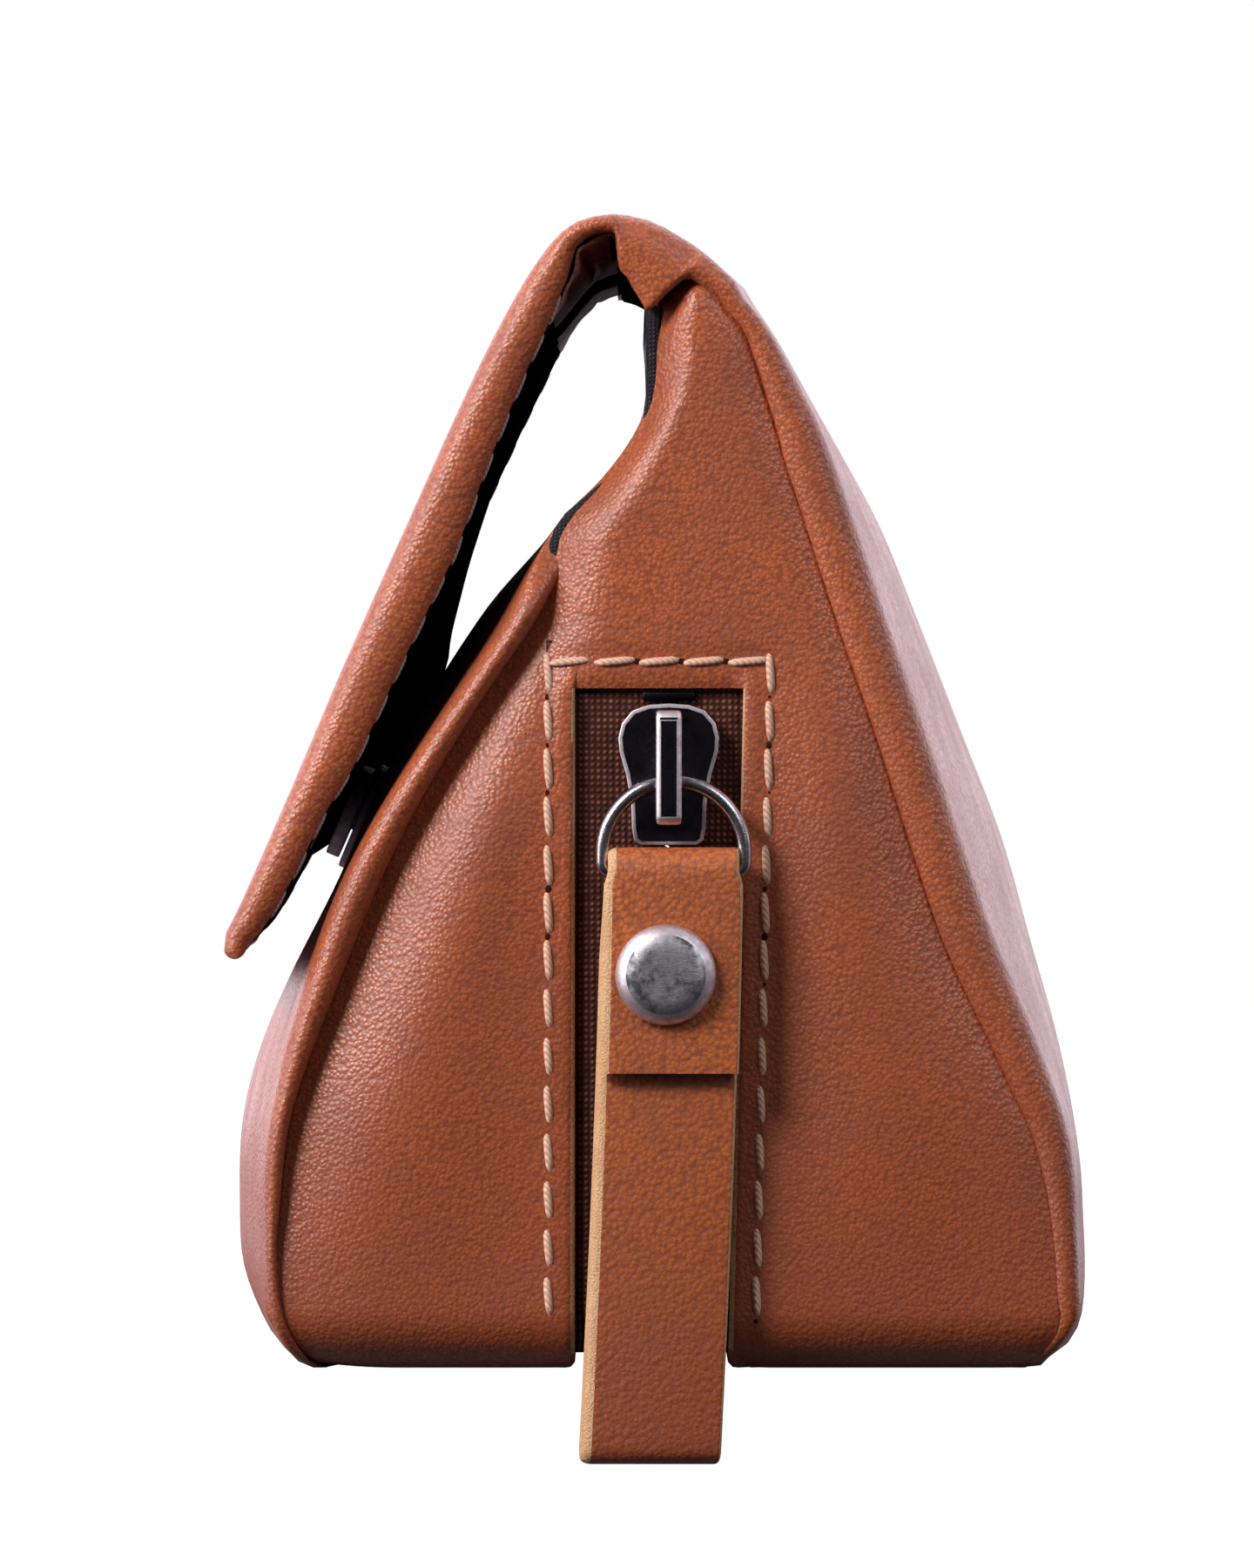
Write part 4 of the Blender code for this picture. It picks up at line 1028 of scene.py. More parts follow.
def end_and_base():
    """The leather of both ends and the base, open along the zip. Its columns stand close together at the
    seams and at the opening, and are counted in shares, from the seam (0) to the opening (1)."""
    sizes = bpy.context.scene.pipe_bag_seams
    even = [round((i / 20) ** 1.35, 4) for i in range(21)]
    at_seam = (0, 0.004, 0.01, 0.012, 0.025, 0.03, 0.045, 0.06, 0.07, 0.1)
    shares = sorted({*at_seam, *(share for share in even if share > 0.12), 0.965, 0.985})
    middle_columns = 12
    front = [(-1, 2)] + [(-1, 1 - share) for share in shares]
    middle = [(0, i / middle_columns) for i in range(1, middle_columns)]
    back = [(1, 1 - share) for share in reversed(shares)] + [(1, 2)]
    columns = front + middle + back
    last_front = len(front) - 1
    first_back = len(front) + len(middle)
    rows, window_row = strip_rows()

    def window_at(side, z):
        high = min(max(z - window_top, 0) / (end_top - window_top), 1)
        centre = (end_edge(-1, z) + end_edge(1, z)) / 2
        reach = (end_edge(1, z) - end_edge(-1, z)) / 8
        return window_x(side, z) * (1 - high) + (centre + side * reach) * high

    def place(i, j):
        y, z, out_y, out_z = rows[j]
        side, share = columns[i]
        if side == 0:
            x = window_at(-1, z) + (window_at(1, z) - window_at(-1, z)) * share
        else:
            x = window_at(side, z) + (end_edge(side, z) - window_at(side, z)) * min(share, 1)
        depth = end_relief(x, z)
        if share > 1:
            x += side * under_seam
            depth += under_seam
        return Vector((x, y - out_y * depth, z - out_z * depth))

    piece = grid("end_and_base_leather", len(columns), len(rows), place)

    def in_window(face):
        across = [v % len(columns) for v in face.vertices]
        along = [v // len(columns) for v in face.vertices]
        return (
            min(across) >= last_front and max(across) <= first_back
            and min(along) >= window_row and max(along) <= len(rows) - 1 - window_row
        )

    edit_faces(piece, in_window)
    bpy.ops.mesh.delete(type="FACE")
    bpy.ops.mesh.select_mode(type="VERT")
    mode("OBJECT")
    wall(piece, sizes.leather, lambda centre: centre - middle_of_bag)
    smooth(piece, 50)
    dress(
        piece, finish("tan"), "bag",
        ("gusset_near_end", "gusset_far_end", "base_front_half", "base_back_half"),
    )

    def cut(face):
        x, z = face.center.x, face.center.z
        edge = window_x(-1 if x < zip_x else 1, z)
        return z < window_top and abs(face.normal.z) < 0.5 and abs(x - edge) < GAP

    paint(piece, finish("cut"), cut)


def zip_path(depth, top, step):
    """(y, z) down the near end, under the base and up the far end, at a depth inside the leather."""
    y = half_length - depth
    radius = corner_radius - depth
    side_steps = max(round((top - corner_radius) / step), 1)
    inner = half_length - corner_radius
    base_steps = max(round(2 * inner / step), 1)
    corner_steps = max(round(radius * math.pi / 2 / step), 3)
    near = [(-y, corner_radius + (top - corner_radius) * (1 - i / side_steps)) for i in range(side_steps)]
    for i in range(corner_steps + 1):
        angle = math.pi / 2 * i / corner_steps
        near.append((
            -half_length + corner_radius - radius * math.cos(angle), corner_radius - radius * math.sin(angle)
        ))
    under = [(-inner + 2 * inner * i / base_steps, depth) for i in range(1, base_steps)]
    return near + under + [(-y, z) for y, z in reversed(near)]


def zip_tapes():
    """Two woven tapes, whose columns stand close together at both edges."""
    depth = half_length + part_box("zip_tape_front")[0].y
    shares = (0, 0.03, 0.25, 0.5, 0.75, 0.9, 0.97, 1)
    for side, name in ((-1, "front"), (1, "back")):
        low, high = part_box("zip_tape_" + name)
        path = zip_path(depth, high.z, 0.002)
        outer, inner = low.x if side < 0 else high.x, zip_x + side * 0.0004

        def place(i, j, outer=outer, inner=inner, path=path):
            return Vector((outer + (inner - outer) * shares[i], *path[j]))

        piece = grid("zip_tape_weave_" + name, len(shares), len(path), place)
        smooth(wall(piece, 0.0005, lambda centre: centre - middle_of_bag))
        dress(piece, finish("tape"), "bag", ("zip_tape_" + name,))


def zip_coils():
    """Each row is one wire wound in flat loops, which reach between those of the other row."""
    pitch, turn_steps = 0.0016, 8
    wire, rise = 0.00034, 0.00072
    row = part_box("zip_teeth_back")
    inner, outer = row[0].x - zip_x, row[1].x - zip_x
    reach = (outer + inner * 0.5) / 2
    swing = (outer - inner * 0.3) / 2
    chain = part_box("zip_stop_near")
    chain_depth = half_length + (chain[0].y + chain[1].y) / 2
    path = zip_path(chain_depth, chain[0].z - GAP, pitch / turn_steps)
    for side, name, phase in ((-1, "front", 0), (1, "back", 0.5)):
        points = []
        for k, (y, z) in enumerate(path):
            turn = 2 * math.pi * (k / turn_steps + phase)
            across = reach + swing * math.cos(turn)
            points.append(Vector((zip_x + side * across, y, z)) + square_to(path, k) * rise * math.sin(turn))
        piece = smooth(tube("zip_coil_" + name, points, wire, sides=1), 80)
        dress(piece, finish("coil"), "bag", ("zip_teeth_" + name,))


def zip_stops():
    for name in ("near", "far"):
        node = "zip_stop_" + name
        dress(refined(node, "zip_top_stop_" + name, 0.0003), finish("stop"), "bag", (node,))


def slider():
    """The slider's body and its bridge, with a painted highlight on their edges and rims."""
    for node, name, width, rim in (
        ("slider_body", "slider_shell", 0.00048, 0.0003), ("slider_bridge", "slider_arch", 0.00042, 0.00012),
    ):
        piece = refined(node, name, width)
        dress(piece, finish("gunmetal"), "slider", (node,))
        edit_faces(piece, lambda face: face.normal.y < -0.99)
        bpy.ops.mesh.inset(thickness=rim, depth=0, use_even_offset=True)
        bpy.ops.mesh.select_all(action="INVERT")
        mode("OBJECT")
        paint(piece, finish("rim_highlight"), lambda face: (
            0.25 < abs(face.normal.y) < 0.97 or face.select and face.normal.y < -0.99
        ))


def ring():
    """The D-ring: a half round, two rounded corners and a bar, in one wire."""
    wire = (ring_high.y - ring_low.y) / 2
    centre_x = (ring_low.x + ring_high.x) / 2 + PULL_SHIFT
    y = (ring_low.y + ring_high.y) / 2
    radius = (ring_high.x - ring_low.x) / 2 - wire
    centre_z = ring_high.z - wire - radius
    bar_z = ring_low.z + wire
    corner = 0.001
    round_steps, corner_steps = 48, 6
    points = []
    for i in range(round_steps + 1):
        angle = math.pi * i / round_steps
        points.append((centre_x + radius * math.cos(angle), y, centre_z + radius * math.sin(angle)))
    for side in (-1, 1):
        for i in range(corner_steps + 1):
            angle = math.pi / 2 * (i if side < 0 else corner_steps - i) / corner_steps
            points.append((
                centre_x + side * (radius - corner * (1 - math.cos(angle))), y,
                bar_z + corner * (1 - math.sin(angle)),
            ))
    piece = smooth(tube("d_ring", points, wire, cyclic=True, sides=5), 60)
    dress(piece, finish("ring"), "ring", ("pull_ring",))


def strap_line(thick):
    """The strap's middle line as (y, z), from the tab's cut end round the bar to the end inside the fold,
    and the height of the bar."""
    tab = 0.0210  # how far the tab hangs under the bar
    tab_steps, bar_steps, back_steps, fold_steps, front_steps = 16, 12, 40, 8, 36
    front, back = strap_low.y + thick / 2, strap_high.y - thick / 2
    middle = (front + back) / 2
    radius = (back - front) / 2
    bar_z = ring_low.z + (ring_high.y - ring_low.y) / 2
    bottom = radius / 2
    low = strap_low.z + bottom + thick / 2
    high = bar_z - radius - GAP
    path = [(front, bar_z - tab + tab * i / tab_steps) for i in range(tab_steps + 1)]
    for i in range(1, bar_steps):
        angle = math.pi * i / bar_steps
        path.append((middle - radius * math.cos(angle), bar_z + radius * math.sin(angle)))
    path += [(back, bar_z + (low - bar_z) * i / back_steps) for i in range(back_steps + 1)]
    for i in range(1, fold_steps):
        angle = math.pi * i / fold_steps
        path.append((middle + bottom + bottom * math.cos(angle), low - bottom * math.sin(angle)))
    path += [(middle, low + (high - low) * i / front_steps) for i in range(front_steps + 1)]
    return path, bar_z


def strap():
    """A strip of leather folded over the ring's bar, with pale cut edges, hanging with a slight lean."""
    thick = 0.0015
    path, bar_z = strap_line(thick)
    lean = 0.0020  # to the front, at its lower end
    twist = 0.0004
    edge, left_edge = 0.00055, 0.0012  # radii of its edges; the left one is worn flat
    narrower = 0.0004  # at the bar
    round_steps = 6
    across_ring = (ring_low.x + ring_high.x) / 2 + PULL_SHIFT
    half = (ring_high.x - ring_low.x) / 2 - (ring_high.y - ring_low.y) - GAP / 3 + 0.0007
    reach = bar_z - strap_low.z
    section = []
    for corner, (sx, sn) in enumerate(((1, 1), (-1, 1), (-1, -1), (1, -1))):
        wide_edge = left_edge if sx < 0 else edge
        for i in range(round_steps + 1):
            angle = math.pi / 2 * (corner + i / round_steps)
            section.append((sx, sn, wide_edge * (math.cos(angle) - sx), edge * math.sin(angle)))
    section.append(section[0])

    def place(i, j):
        y, z = path[j]
        sx, sn, dx, dn = section[i]
        down = max(bar_z - z, 0)
        wide = half - narrower * smooth_step(1 - down / 0.0015)
        out = square_to(path, j) * (sn * (thick / 2 - edge) + dn)
        spot = Vector((across_ring + sx * wide + dx, y, z)) + out
        skew = (spot.y - strap_low.y) / (strap_high.y - strap_low.y)
        spot.x -= lean * (down / reach) ** 1.5 + twist * (1 + down / reach) * skew * smooth_step(down / 0.01)
        return spot

    piece = smooth(loft("pull_strap_leather", len(section), len(path), place), 50)
    dress(piece, finish("strap"), "strap", ("pull_strap",))
    paint(piece, finish("cut"), lambda face: face.normal.x > 0.5 or face.normal.x < -0.13)


def rivet():
    """A domed cap with a painted highlight on its rolled rim, its post and the cap behind."""
    centre = (rivet_low + rivet_high) / 2
    radius = (rivet_high.x - rivet_low.x) / 2
    height = rivet_high.y - rivet_low.y
    flat, rim = 0.5, 0.8  # where the dome starts to fall off and its rim starts, as shares of the radius

    def place(x, y, z):
        out, turn = min(math.hypot(x, y), 1), math.atan2(y, x)
        up = 0
        if z > 0:
            fall = max((out - flat) / (1 - flat), 0) ** 2.1
            up = height * math.sqrt(max(1 - fall, 0)) * (1 - 0.05 * out**2)
        across, above = radius * out * math.cos(turn), radius * out * math.sin(turn)
        return Vector((centre.x + across, rivet_high.y - up, centre.z + above))

    piece = ball("rivet_dome", 72, 48, place)
    editing(piece, outside)
    smooth(piece, 50)
    dress(piece, finish("silver"), "strap", ("rivet_cap",))
    paint(piece, finish("rim_highlight"), lambda face: (
        math.hypot(face.center.x - centre.x, face.center.z - centre.z) > radius * rim
    ))
    for node, name in (("rivet_post", "rivet_stem"), ("rivet_back_cap", "rivet_back")):
        dress(refined(node, name, 0.0002), finish("silver"), "strap", (node,))


def snap():
    for node, name, body in (
        ("snap_stud_front", "snap_stud", "bag"), ("snap_washer_front", "snap_plate_front", "bag"),
        ("snap_magnet_flap", "snap_magnet", "flap"), ("snap_washer_flap", "snap_plate_flap", "flap"),
    ):
        dress(refined(node, name, 0.00018), finish("snap"), body, (node,))


def stitch_pattern(length, width):
    """One stitch: a short thread whose ends dive into the leather."""
    thick = 0.42  # half of it, as a share of the width
    lies_out, dives = 0.28, 0.38

    def place(x, y, z):
        body = (1 - z**4) ** 0.5 if abs(z) < 1 and math.hypot(x, y) > 0.01 else 0
        turn = math.atan2(y, x)
        return Vector((
            body * width / 2 * math.cos(turn),
            body * width * thick * math.sin(turn) + width * (lies_out - dives * z**4),
            z * length / 2,
        ))

    return smooth(ball("stitch", 8, 7, place), 80)


def hole_pattern(radius, flatness=0.35):
    return smooth(ball("hole", 10, 6, lambda x, y, z: Vector((x, y * flatness, z)) * radius), 80)


def laid(place, along, out):
    """A frame at a place with its Z along a line and its Y out of the surface."""
    along = along.normalized()
    across = out.cross(along).normalized()
    return Matrix.Translation(place) @ Matrix((across, along.cross(across), along)).transposed().to_4x4()


def end_stitching():
    """Stitches round the zip's opening, up both ends and under the base."""
    thread = bpy.context.scene.pipe_bag_stitches
    base_depth = 0.0002
    first, last = 0.25, 0.8  # where a line starts and ends: shares of a stitch and of the corner's radius
    tilt = math.radians(5)

    def on_end(x, z, end):
        return Vector((x, -end * (half_length - end_relief(x, z)), z))

    def along_line(low, high):
        count = round((high - low) / thread.pitch)
        return [low + (high - low) * (i + 0.5) / count for i in range(count)]

    top = window_top + thread.margin
    inner = half_length - corner_radius
    lines = []
    for end in (1, -1):
        out = Vector((0, -end, 0))
        for side in (-1, 1):
            points = []
            z = top - thread.pitch * first
            while z > corner_radius * last:
                points.append((on_end(window_x(side, z) + side * thread.margin, z, end), out))
                z -= thread.pitch
            lines.append(points)
        left, right = window_x(-1, top) - thread.margin, window_x(1, top) + thread.margin
        lines.append([(on_end(x, top, end), out) for x in along_line(left, right)])
    for side in (-1, 1):
        x = window_x(side, 0) + side * thread.margin
        lines.append([(Vector((x, y, base_depth)), Vector((0, 0, -1))) for y in along_line(-inner, inner)])
    stitches, holes = [], []
    for points in lines:
        for k, (place, out) in enumerate(points):
            other = points[k + 1][0] if k + 1 < len(points) else place * 2 - points[k - 1][0]
            along = other - place
            stitches.append(laid(place, Matrix.Rotation(tilt, 3, out) @ along, out))
            holes.append(laid(place + along / 2, along, out))
    piece = repeat(stitch_pattern(thread.length, thread.width), "end_stitches", stitches)
    dress(piece, finish("thread"), "bag")
    # The needle holes are dark dots: painted shade.
    piece = repeat(hole_pattern(0.00042), "end_stitch_holes", holes)
    dress(piece, finish("hole"), "bag")


# How far the flap's lining swells towards the front behind the snap, by distance from the hinge, in metres.
LINING_SWELL = (
    (0, 0), (0.034, 0.0002), (0.041, 0.0006), (0.0453, 0.0010), (0.0493, 0.0015), (0.0534, 0.0020),
    (0.0575, 0.0026), (0.0614, 0.0034), (0.0654, 0.0043), (0.0685, 0.0053), (0.073, 0.0053), (0.078, 0.0052),
    (0.084, 0.0046), (0.090, 0.0032), (0.097, 0), (0.12, 0),
)
ROOT_MARGIN = (0.0160, 0.0305)  # from the hinge, where leather is turned in under the flap's root


def inner_depth(at, y):
    """Depth of the inner face of the flap's leather, from the rim of its rolled end to the wall between."""
    rim, deep = straight(FLAP_END_DEPTHS, at), straight(FLAP_WALLS, at)
    share = max(1 - abs(y) / (half_length - groove_at(1, end_top)), 0)
    slope = [(part, smooth_step(part / INNER_SHARES[2])) for part in (0, *INNER_SHARES[:3])]
    depth = rim + (deep - rim) * straight(slope, share)
    return min(depth, FAR_DEPTH) if y > 0 else depth


def flap_inside():
    """The flap's lining, with a stitched line beside each rolled end."""
    start, stop = 0.0095, back_line.length - hinge_at - 0.0025
    columns = [0, 0.004, 0.04, 0.1, 0.25, 0.4, 0.5, 0.56, 0.62, 0.68, 0.74, 0.8, 0.85, 0.9, 0.96, 0.996, 1]
    rows = 72
    half = half_length - 0.0022
    swell_length = 0.08  # from the bag's middle towards its far end
    clear = 0.0002  # between the leather and the lining
    pitch, first, last = 0.0046, 0.03, 0.004  # of the stitches, which start and end this far along

    def point(at, y, more=0):
        swell = math.sin(math.pi * min(max(y / swell_length, 0), 1)) ** 2
        depth = inner_depth(at, y) + max(through(LINING_SWELL, at), 0) * swell + clear + more
        return panel_point(back_line, hinge_at + at, (abs(y), depth), y > 0)

    def place(i, j):
        return point(start + (stop - start) * j / rows, (-1 + 2 * columns[i]) * half)

    piece = grid("flap_lining_cloth", len(columns), rows + 1, place)
    smooth(wall(piece, CLOTH, lambda at: Vector((zip_x - at.x, 0, window_top - at.z))))
    dress(piece, finish("lining"), "flap", ("flap_lining",))
    places = []
    for side in (-1, 1):
        out, y, at = Vector((0, side, 0)), side * half, first
        while at < stop - last:
            along = point(at + GAP, y) - point(at - GAP, y)
            places.append(laid(point(at, y, -clear) + out * clear, along, out))
            at += pitch
    stitches = repeat(stitch_pattern(0.0034, 0.0006), "flap_lining_stitches", places)
    dress(stitches, finish("grey_thread"), "flap")


def flap_root_margins():
    """Leather turned in at both ends of the flap's root, puckered where it goes round the bend."""
    start, stop = ROOT_MARGIN
    width, from_edge = 0.060, 0.0018
    rows, columns = 64, 20
    clear, rise, ripple = 0.0003, 0.0004, 0.0047
    middle = Vector((zip_x, 0, end_top / 2))
    ends = []
    for end, pucker_depth in ((-1, 0.0003), (1, 0.0001)):

        def place(i, j, end=end, pucker_depth=pucker_depth):
            at = start + (stop - start) * j / rows
            inside = (i / columns) ** 1.6
            from_end = from_edge + width * inside
            y = end * (half_length - from_end)
            hump = math.sin(math.pi * j / rows) ** 0.5
            pucker = math.sin(2 * math.pi * at / ripple + 1.1 * math.sin(inside * 5))
            pucker *= smooth_step(from_end / 0.004) * (1 - smooth_step(inside)) * hump
            depth = inner_depth(at, y) + clear + rise * hump + pucker_depth * pucker
            return panel_point(back_line, hinge_at + at, (abs(y), depth), y > 0)

        piece = grid("margin", columns + 1, rows + 1, place)
        ends.append(wall(piece, 0.0003, lambda at: middle - at))
    piece = smooth(join("flap_root_margins", ends), 60)
    dress(piece, finish("turned"), "flap")


def inner_linings():
    """The black lining of the two panels and the divider between the pocket and the pipes."""
    half_share = 0.955  # of the bag's length that a lining takes up
    start, stop_short = 0.003, 0.0015
    rows, columns = 40, 24
    padded, thinner, tucked = 0.0040, 0.0022, 0.0008  # how deep it lies, and how much less or more
    for side, name, line in ((-1, "front", front_line), (1, "back", back_line)):
        top = (front_line.length if side < 0 else hinge_at) - stop_short

        def place(i, j, line=line, top=top, side=side):
            at = start + (top - start) * j / rows
            _, _, z = line.at(at)
            y = (-1 + 2 * i / columns) * half_length_at(z) * half_share
            depth = padded - (thinner * thinned(at / top) if side < 0 else 0)
            inside = smooth_step((half_length * half_share - abs(y)) / 0.004)
            return panel_point(line, at, (abs(y), depth + tucked * (1 - inside)), y > 0)

        piece = grid(name + "_lining_cloth", columns + 1, rows + 1, place)
        smooth(wall(piece, CLOTH, lambda at, side=side: Vector((-side, 0, 0))))
        dress(piece, finish("lining"), "bag", (name + "_lining",))
    low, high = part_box("compartment_divider")
    floor_columns, floor_rows = 16, 40
    inside_panel = 0.0062

    def floor(i, j):
        y = (low.y + GAP) + (high.y - low.y - 2 * GAP) * j / floor_rows
        share = i / floor_columns
        bulge = 1 - min(abs(y) / half_length, 1) ** bulge_power
        ends = []
        for side in (-1, 1):
            end_x, middle_x, _ = skin_row(side, high.z)
            ends.append(end_x + (middle_x - end_x) * bulge - side * inside_panel)
        x = ends[0] + (ends[1] - ends[0]) * share
        return Vector((x, y, high.z - (high.z - low.z) * math.sin(math.pi * share)))

    piece = grid("pocket_floor", floor_columns + 1, floor_rows + 1, floor)
    smooth(wall(piece, CLOTH, lambda at: Vector((0, 0, 1))))
    dress(piece, finish("lining"), "bag", ("compartment_divider",))


def mouth_binding():
    """The black strip folded over the pocket's mouth and down its two ends, where it tapers off."""
    bottom = 0.0790
    half_thick = 0.0011
    bend = 0.0024  # radius of its path at the mouth's two corners
    set_back = 0.0041  # from the bag's ends
    side_rows, bend_rows, top_rows, round_columns = 17, 8, 40, 20
    least, taper, squareness = 0.15, 0.011, 0.7
    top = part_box("mouth_hem")[1].z - half_thick
    outer_y = -half_length + set_back
    path = [(outer_y, bottom + (top - bend - bottom) * i / side_rows) for i in range(side_rows + 1)]
    for i in range(1, bend_rows):
        angle = math.pi / 2 * i / bend_rows
        path.append((outer_y + bend * (1 - math.cos(angle)), top - bend * (1 - math.sin(angle))))
    inner = half_length - set_back - bend
    one_side = list(path)
    path += [(-inner + 2 * inner * i / top_rows, top) for i in range(top_rows + 1)]
    path += [(-y, z) for y, z in reversed(one_side)]

    def squared(value):
        return math.copysign(abs(value) ** squareness, value)

    def place(i, j):
        y, z = path[j]
        outer = skin_row(-1, min(z, end_top))[0]
        inside = seam_x(-1, min(z, end_top))
        wide = max(inside - outer, 0.0012) / 2 + 0.00012
        wide *= least + (1 - least) * eased(z, bottom, taper)
        angle = 2 * math.pi * i / round_columns
        across, up = squared(math.cos(angle)) * wide, squared(math.sin(angle)) * half_thick
        fade = math.sqrt(max(1 - (1 - min(j / 3, 1, (len(path) - 1 - j) / 3)) ** 2, 0.02))
        return Vector(((outer + inside) / 2 + across * fade, y, z)) + square_to(path, j) * up * fade

    piece = smooth(loft("pocket_mouth_binding", round_columns + 1, len(path), place), 60)
    dress(piece, finish("binding"), "bag", ("mouth_hem",))


def table_finish():
    """Pale and matt; what the camera sees of it is as light as the background."""
    recipe = Recipe("pale_table", (0.22, 0.2, 0.2), 0.9, Specular_IOR_Level=0.0)
    glow = recipe.add("Emission", Color=(1, 1, 1, 1), Strength=recipe.add("LightPath", "Is Camera Ray"))
    both = recipe.add("AddShader", _0=recipe.shader.outputs[0], _1=glow)
    recipe.feed(recipe.tree.nodes["Material Output"].inputs["Surface"], both)
    return recipe.material


def room_light(sizes):
    """White behind the bag, and a soft room that is darker from the camera's side and from below."""
    world = bpy.data.worlds.new("studio")
    bpy.context.scene.world = world
    world.use_nodes = True
    graph = Graph(world.node_tree)
    white = world.node_tree.nodes["Background"]
    white.inputs["Color"].default_value = (1, 1, 1, 1)
    rays = graph.add("LightPath").node.outputs
    seen = graph.math("MAXIMUM", rays["Is Camera Ray"], rays["Is Transmission Ray"])
    split = graph.add("SeparateXYZ", _0=graph.add("TexCoord", "Generated")).node.outputs
    strength = graph.math(
        "MULTIPLY", graph.range(split["Y"], -0.35, 0.45, sizes.front_glow, 1.9),
        graph.range(split["Z"], -0.5, 0.0, 0.15, 1.0),
    )
    room = graph.add("Background", Color=(0.92, 0.88, 1.0, 1), Strength=strength)
    shown = graph.add("MixShader", _0=seen, _1=room, _2=white.outputs[0])
    graph.feed(world.node_tree.nodes["World Output"].inputs["Surface"], shown)


def stage():
    """A pale table whose front edge lies just behind the bag's near end, soft light and the camera."""
    sizes = bpy.context.scene.pipe_bag_stage
    bpy.ops.object.select_all(action="DESELECT")
    edge = -half_length + corner_radius * 0.8
    deep, thick, wide = 3.0, 0.12, 4.0
    middle = (zip_x, edge + deep / 2, -thick / 2)
    bpy.ops.mesh.primitive_cube_add(size=1, location=middle, scale=(wide, deep, thick))
    table = bpy.context.object
    table.name = "table"
    bpy.ops.object.transform_apply(location=True, rotation=False, scale=True)
    modifier(table, "BEVEL", width=0.001, segments=3)
    table.data.materials.append(table_finish())
    room_light(sizes)
    aim = Vector((zip_x, -half_length / 2, end_top / 2))
    for name, place, size, power, colour in (
        ("key_light", (-0.54, -0.57, 0.53), 0.26, sizes.key, (1, 0.95, 0.93)),
        ("left_light", (-0.80, -0.34, 0.26), 0.40, sizes.left, (1, 0.93, 0.98)),
        ("side_light", (0.45, -0.62, 0.5), 0.35, sizes.fill, (0.95, 0.96, 1)),
    ):
        data = bpy.data.lights.new(name, "AREA")
        data.size, data.energy, data.color = size, power, colour
        lamp = linked(name, data)
        lamp.location = place
        lamp.rotation_euler = (aim - Vector(place)).to_track_quat("-Z", "Y").to_euler()
    data = bpy.data.cameras.new("camera")
    data.sensor_width = 36
    data.lens = data.sensor_width * sizes.distance / sizes.height
    data.clip_end = 20
    camera = linked("camera", data)
    camera.location = (zip_x - sizes.across, -half_length - sizes.distance, sizes.level)
    camera.rotation_euler = (math.pi / 2, 0, 0)
    bpy.context.scene.camera = camera
    bpy.context.scene.view_settings.view_transform = "Standard"


class PIPEBAG_OT_stage(bpy.types.Operator):
    """Table, lights and camera"""

    bl_idname = "pipebag.stage"
    bl_label = "Stage"

    def execute(self, context):
        stage()
        return {"FINISHED"}


class PIPEBAG_OT_front(bpy.types.Operator):
    """The padded front with its rolled ends"""

    bl_idname = "pipebag.front"
    bl_label = "Front panel"

    def execute(self, context):
        front_panel()
        return {"FINISHED"}


class PIPEBAG_OT_back(bpy.types.Operator):
    """The back panel and the flap that it turns into"""

    bl_idname = "pipebag.back"
    bl_label = "Back and flap"

    def execute(self, context):
        back_and_flap()
        return {"FINISHED"}


class PIPEBAG_OT_ends(bpy.types.Operator):
    """The leather of both ends and the base"""

    bl_idname = "pipebag.ends"
    bl_label = "Ends and base"

    def execute(self, context):
        end_and_base()
        return {"FINISHED"}


class PIPEBAG_OT_tapes(bpy.types.Operator):
    """The zip's two woven tapes"""

    bl_idname = "pipebag.tapes"
    bl_label = "Zip tapes"

    def execute(self, context):
        zip_tapes()
        return {"FINISHED"}


class PIPEBAG_OT_coils(bpy.types.Operator):
    """The zip's two coils and its stops"""

    bl_idname = "pipebag.coils"
    bl_label = "Zip coils"

    def execute(self, context):
        zip_coils()
        zip_stops()
        return {"FINISHED"}


class PIPEBAG_OT_slider(bpy.types.Operator):
    """The slider and its bridge"""

    bl_idname = "pipebag.slider"
    bl_label = "Slider"

    def execute(self, context):
        slider()
        return {"FINISHED"}


class PIPEBAG_OT_ring(bpy.types.Operator):
    """The D-ring of the pull"""

    bl_idname = "pipebag.ring"
    bl_label = "Ring"

    def execute(self, context):
        ring()
        return {"FINISHED"}


class PIPEBAG_OT_strap(bpy.types.Operator):
    """The pull's strap"""

    bl_idname = "pipebag.strap"
    bl_label = "Strap"

    def execute(self, context):
        strap()
        return {"FINISHED"}


class PIPEBAG_OT_rivet(bpy.types.Operator):
    """The strap's rivet"""

    bl_idname = "pipebag.rivet"
    bl_label = "Rivet"

    def execute(self, context):
        rivet()
        return {"FINISHED"}


class PIPEBAG_OT_snap(bpy.types.Operator):
    """The hidden snap between the flap and the front"""

    bl_idname = "pipebag.snap"
    bl_label = "Snap"

    def execute(self, context):
        snap()
        return {"FINISHED"}


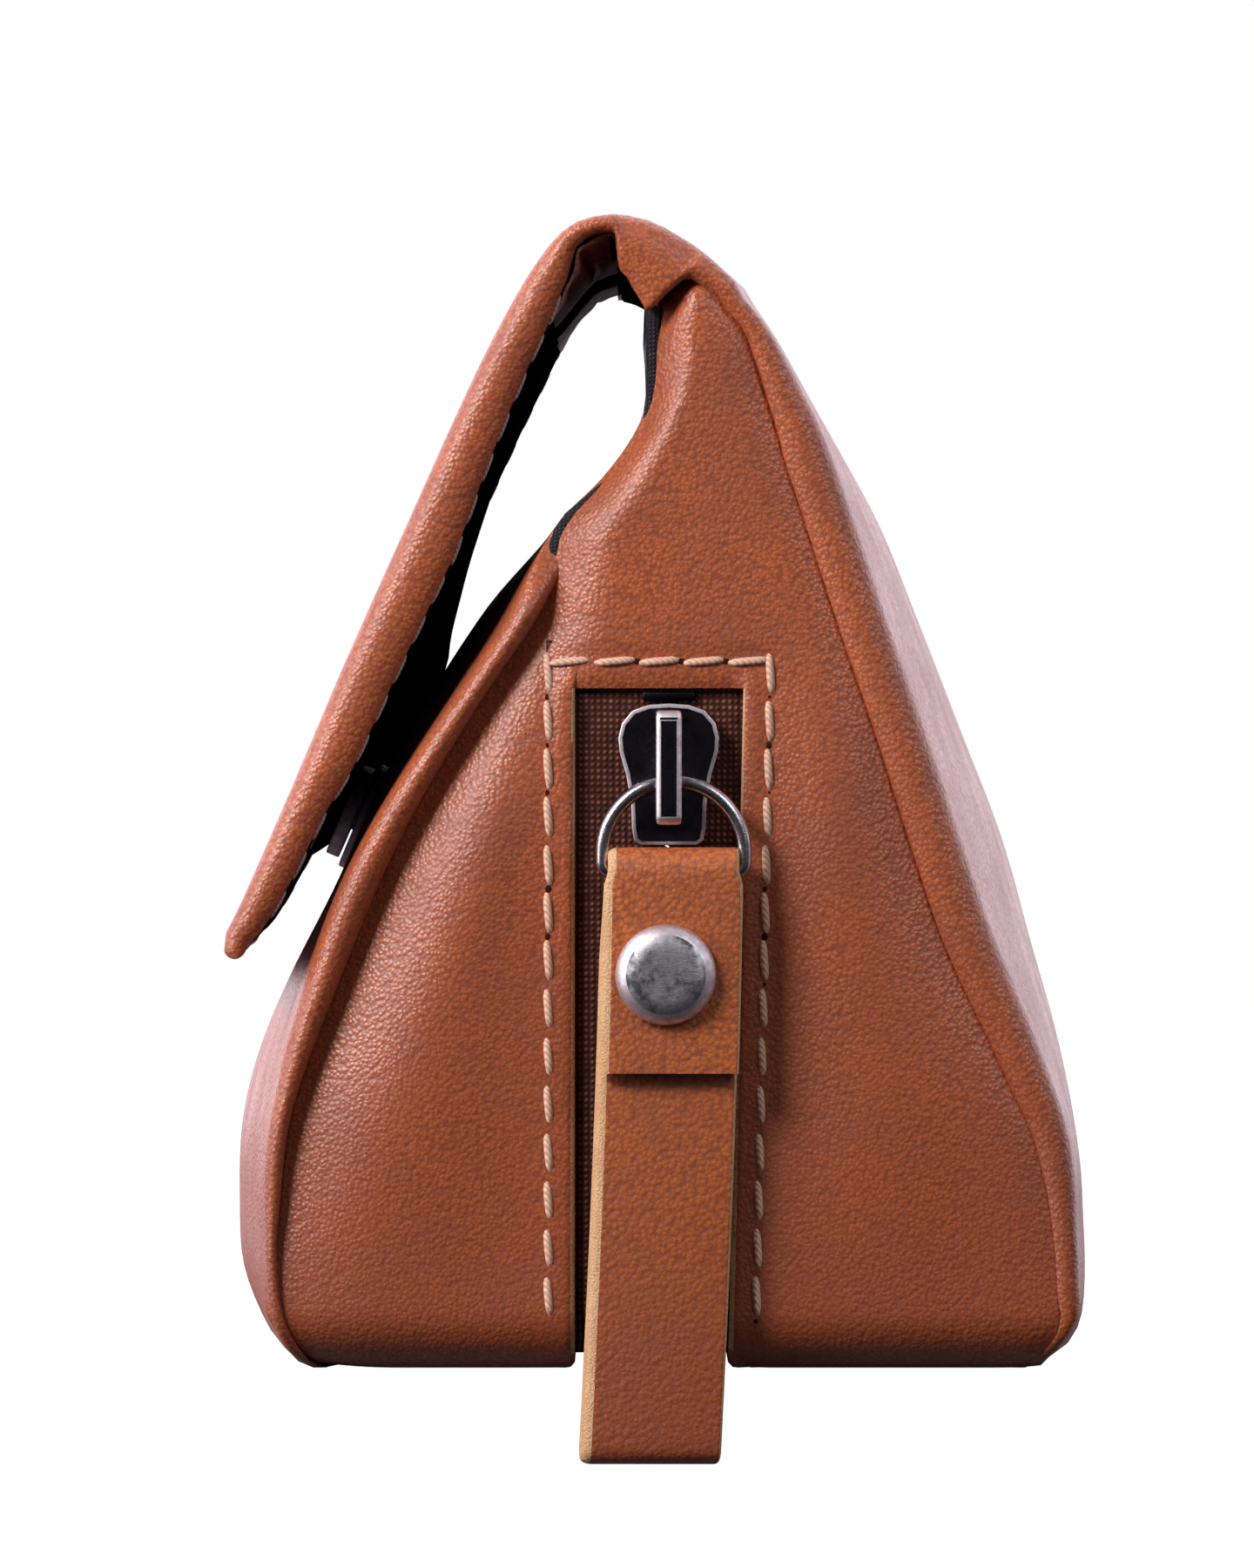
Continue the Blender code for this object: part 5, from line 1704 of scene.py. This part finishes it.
class PIPEBAG_OT_linings(bpy.types.Operator):
    """The black lining inside and the leather turned in under the flap's root"""

    bl_idname = "pipebag.linings"
    bl_label = "Linings"

    def execute(self, context):
        flap_inside()
        flap_root_margins()
        inner_linings()
        mouth_binding()
        return {"FINISHED"}


class PIPEBAG_OT_stitching(bpy.types.Operator):
    """Stitches and needle holes round the zip"""

    bl_idname = "pipebag.stitching"
    bl_label = "Stitching"

    def execute(self, context):
        end_stitching()
        return {"FINISHED"}


OPERATORS = (
    PIPEBAG_OT_stage, PIPEBAG_OT_front, PIPEBAG_OT_back, PIPEBAG_OT_ends, PIPEBAG_OT_tapes, PIPEBAG_OT_coils,
    PIPEBAG_OT_slider, PIPEBAG_OT_ring, PIPEBAG_OT_strap, PIPEBAG_OT_rivet, PIPEBAG_OT_snap,
    PIPEBAG_OT_linings, PIPEBAG_OT_stitching,
)


class PIPEBAG_PT_looks(bpy.types.Panel):
    """Sizes and colours of the bag, and a button for each piece"""

    bl_label = "Pipe bag"
    bl_space_type = "VIEW_3D"
    bl_region_type = "UI"
    bl_category = "Pipe bag"

    def draw(self, context):
        for group in ("pipe_bag_looks", "pipe_bag_seams", "pipe_bag_stitches", "pipe_bag_stage"):
            settings = getattr(context.scene, group)
            box = self.layout.box()
            for key in settings.bl_rna.properties.keys():
                if key not in ("rna_type", "name"):
                    box.prop(settings, key)
        for kind in OPERATORS:
            self.layout.operator(kind.bl_idname)


GROUPS = {
    "pipe_bag_looks": LeatherLooks, "pipe_bag_seams": SeamSizes, "pipe_bag_stitches": StitchSizes,
    "pipe_bag_stage": StageSizes,
}


def register():
    for kind in (*GROUPS.values(), *OPERATORS, PIPEBAG_PT_looks):
        bpy.utils.register_class(kind)
    for name, kind in GROUPS.items():
        setattr(bpy.types.Scene, name, PointerProperty(type=kind))


def unregister():
    for name in GROUPS:
        delattr(bpy.types.Scene, name)
    for kind in reversed((*GROUPS.values(), *OPERATORS, PIPEBAG_PT_looks)):
        bpy.utils.unregister_class(kind)


def main():
    register()
    for kind in OPERATORS:
        group, action = kind.bl_idname.split(".")
        getattr(getattr(bpy.ops, group), action)()


if __name__ == "__main__":
    main()
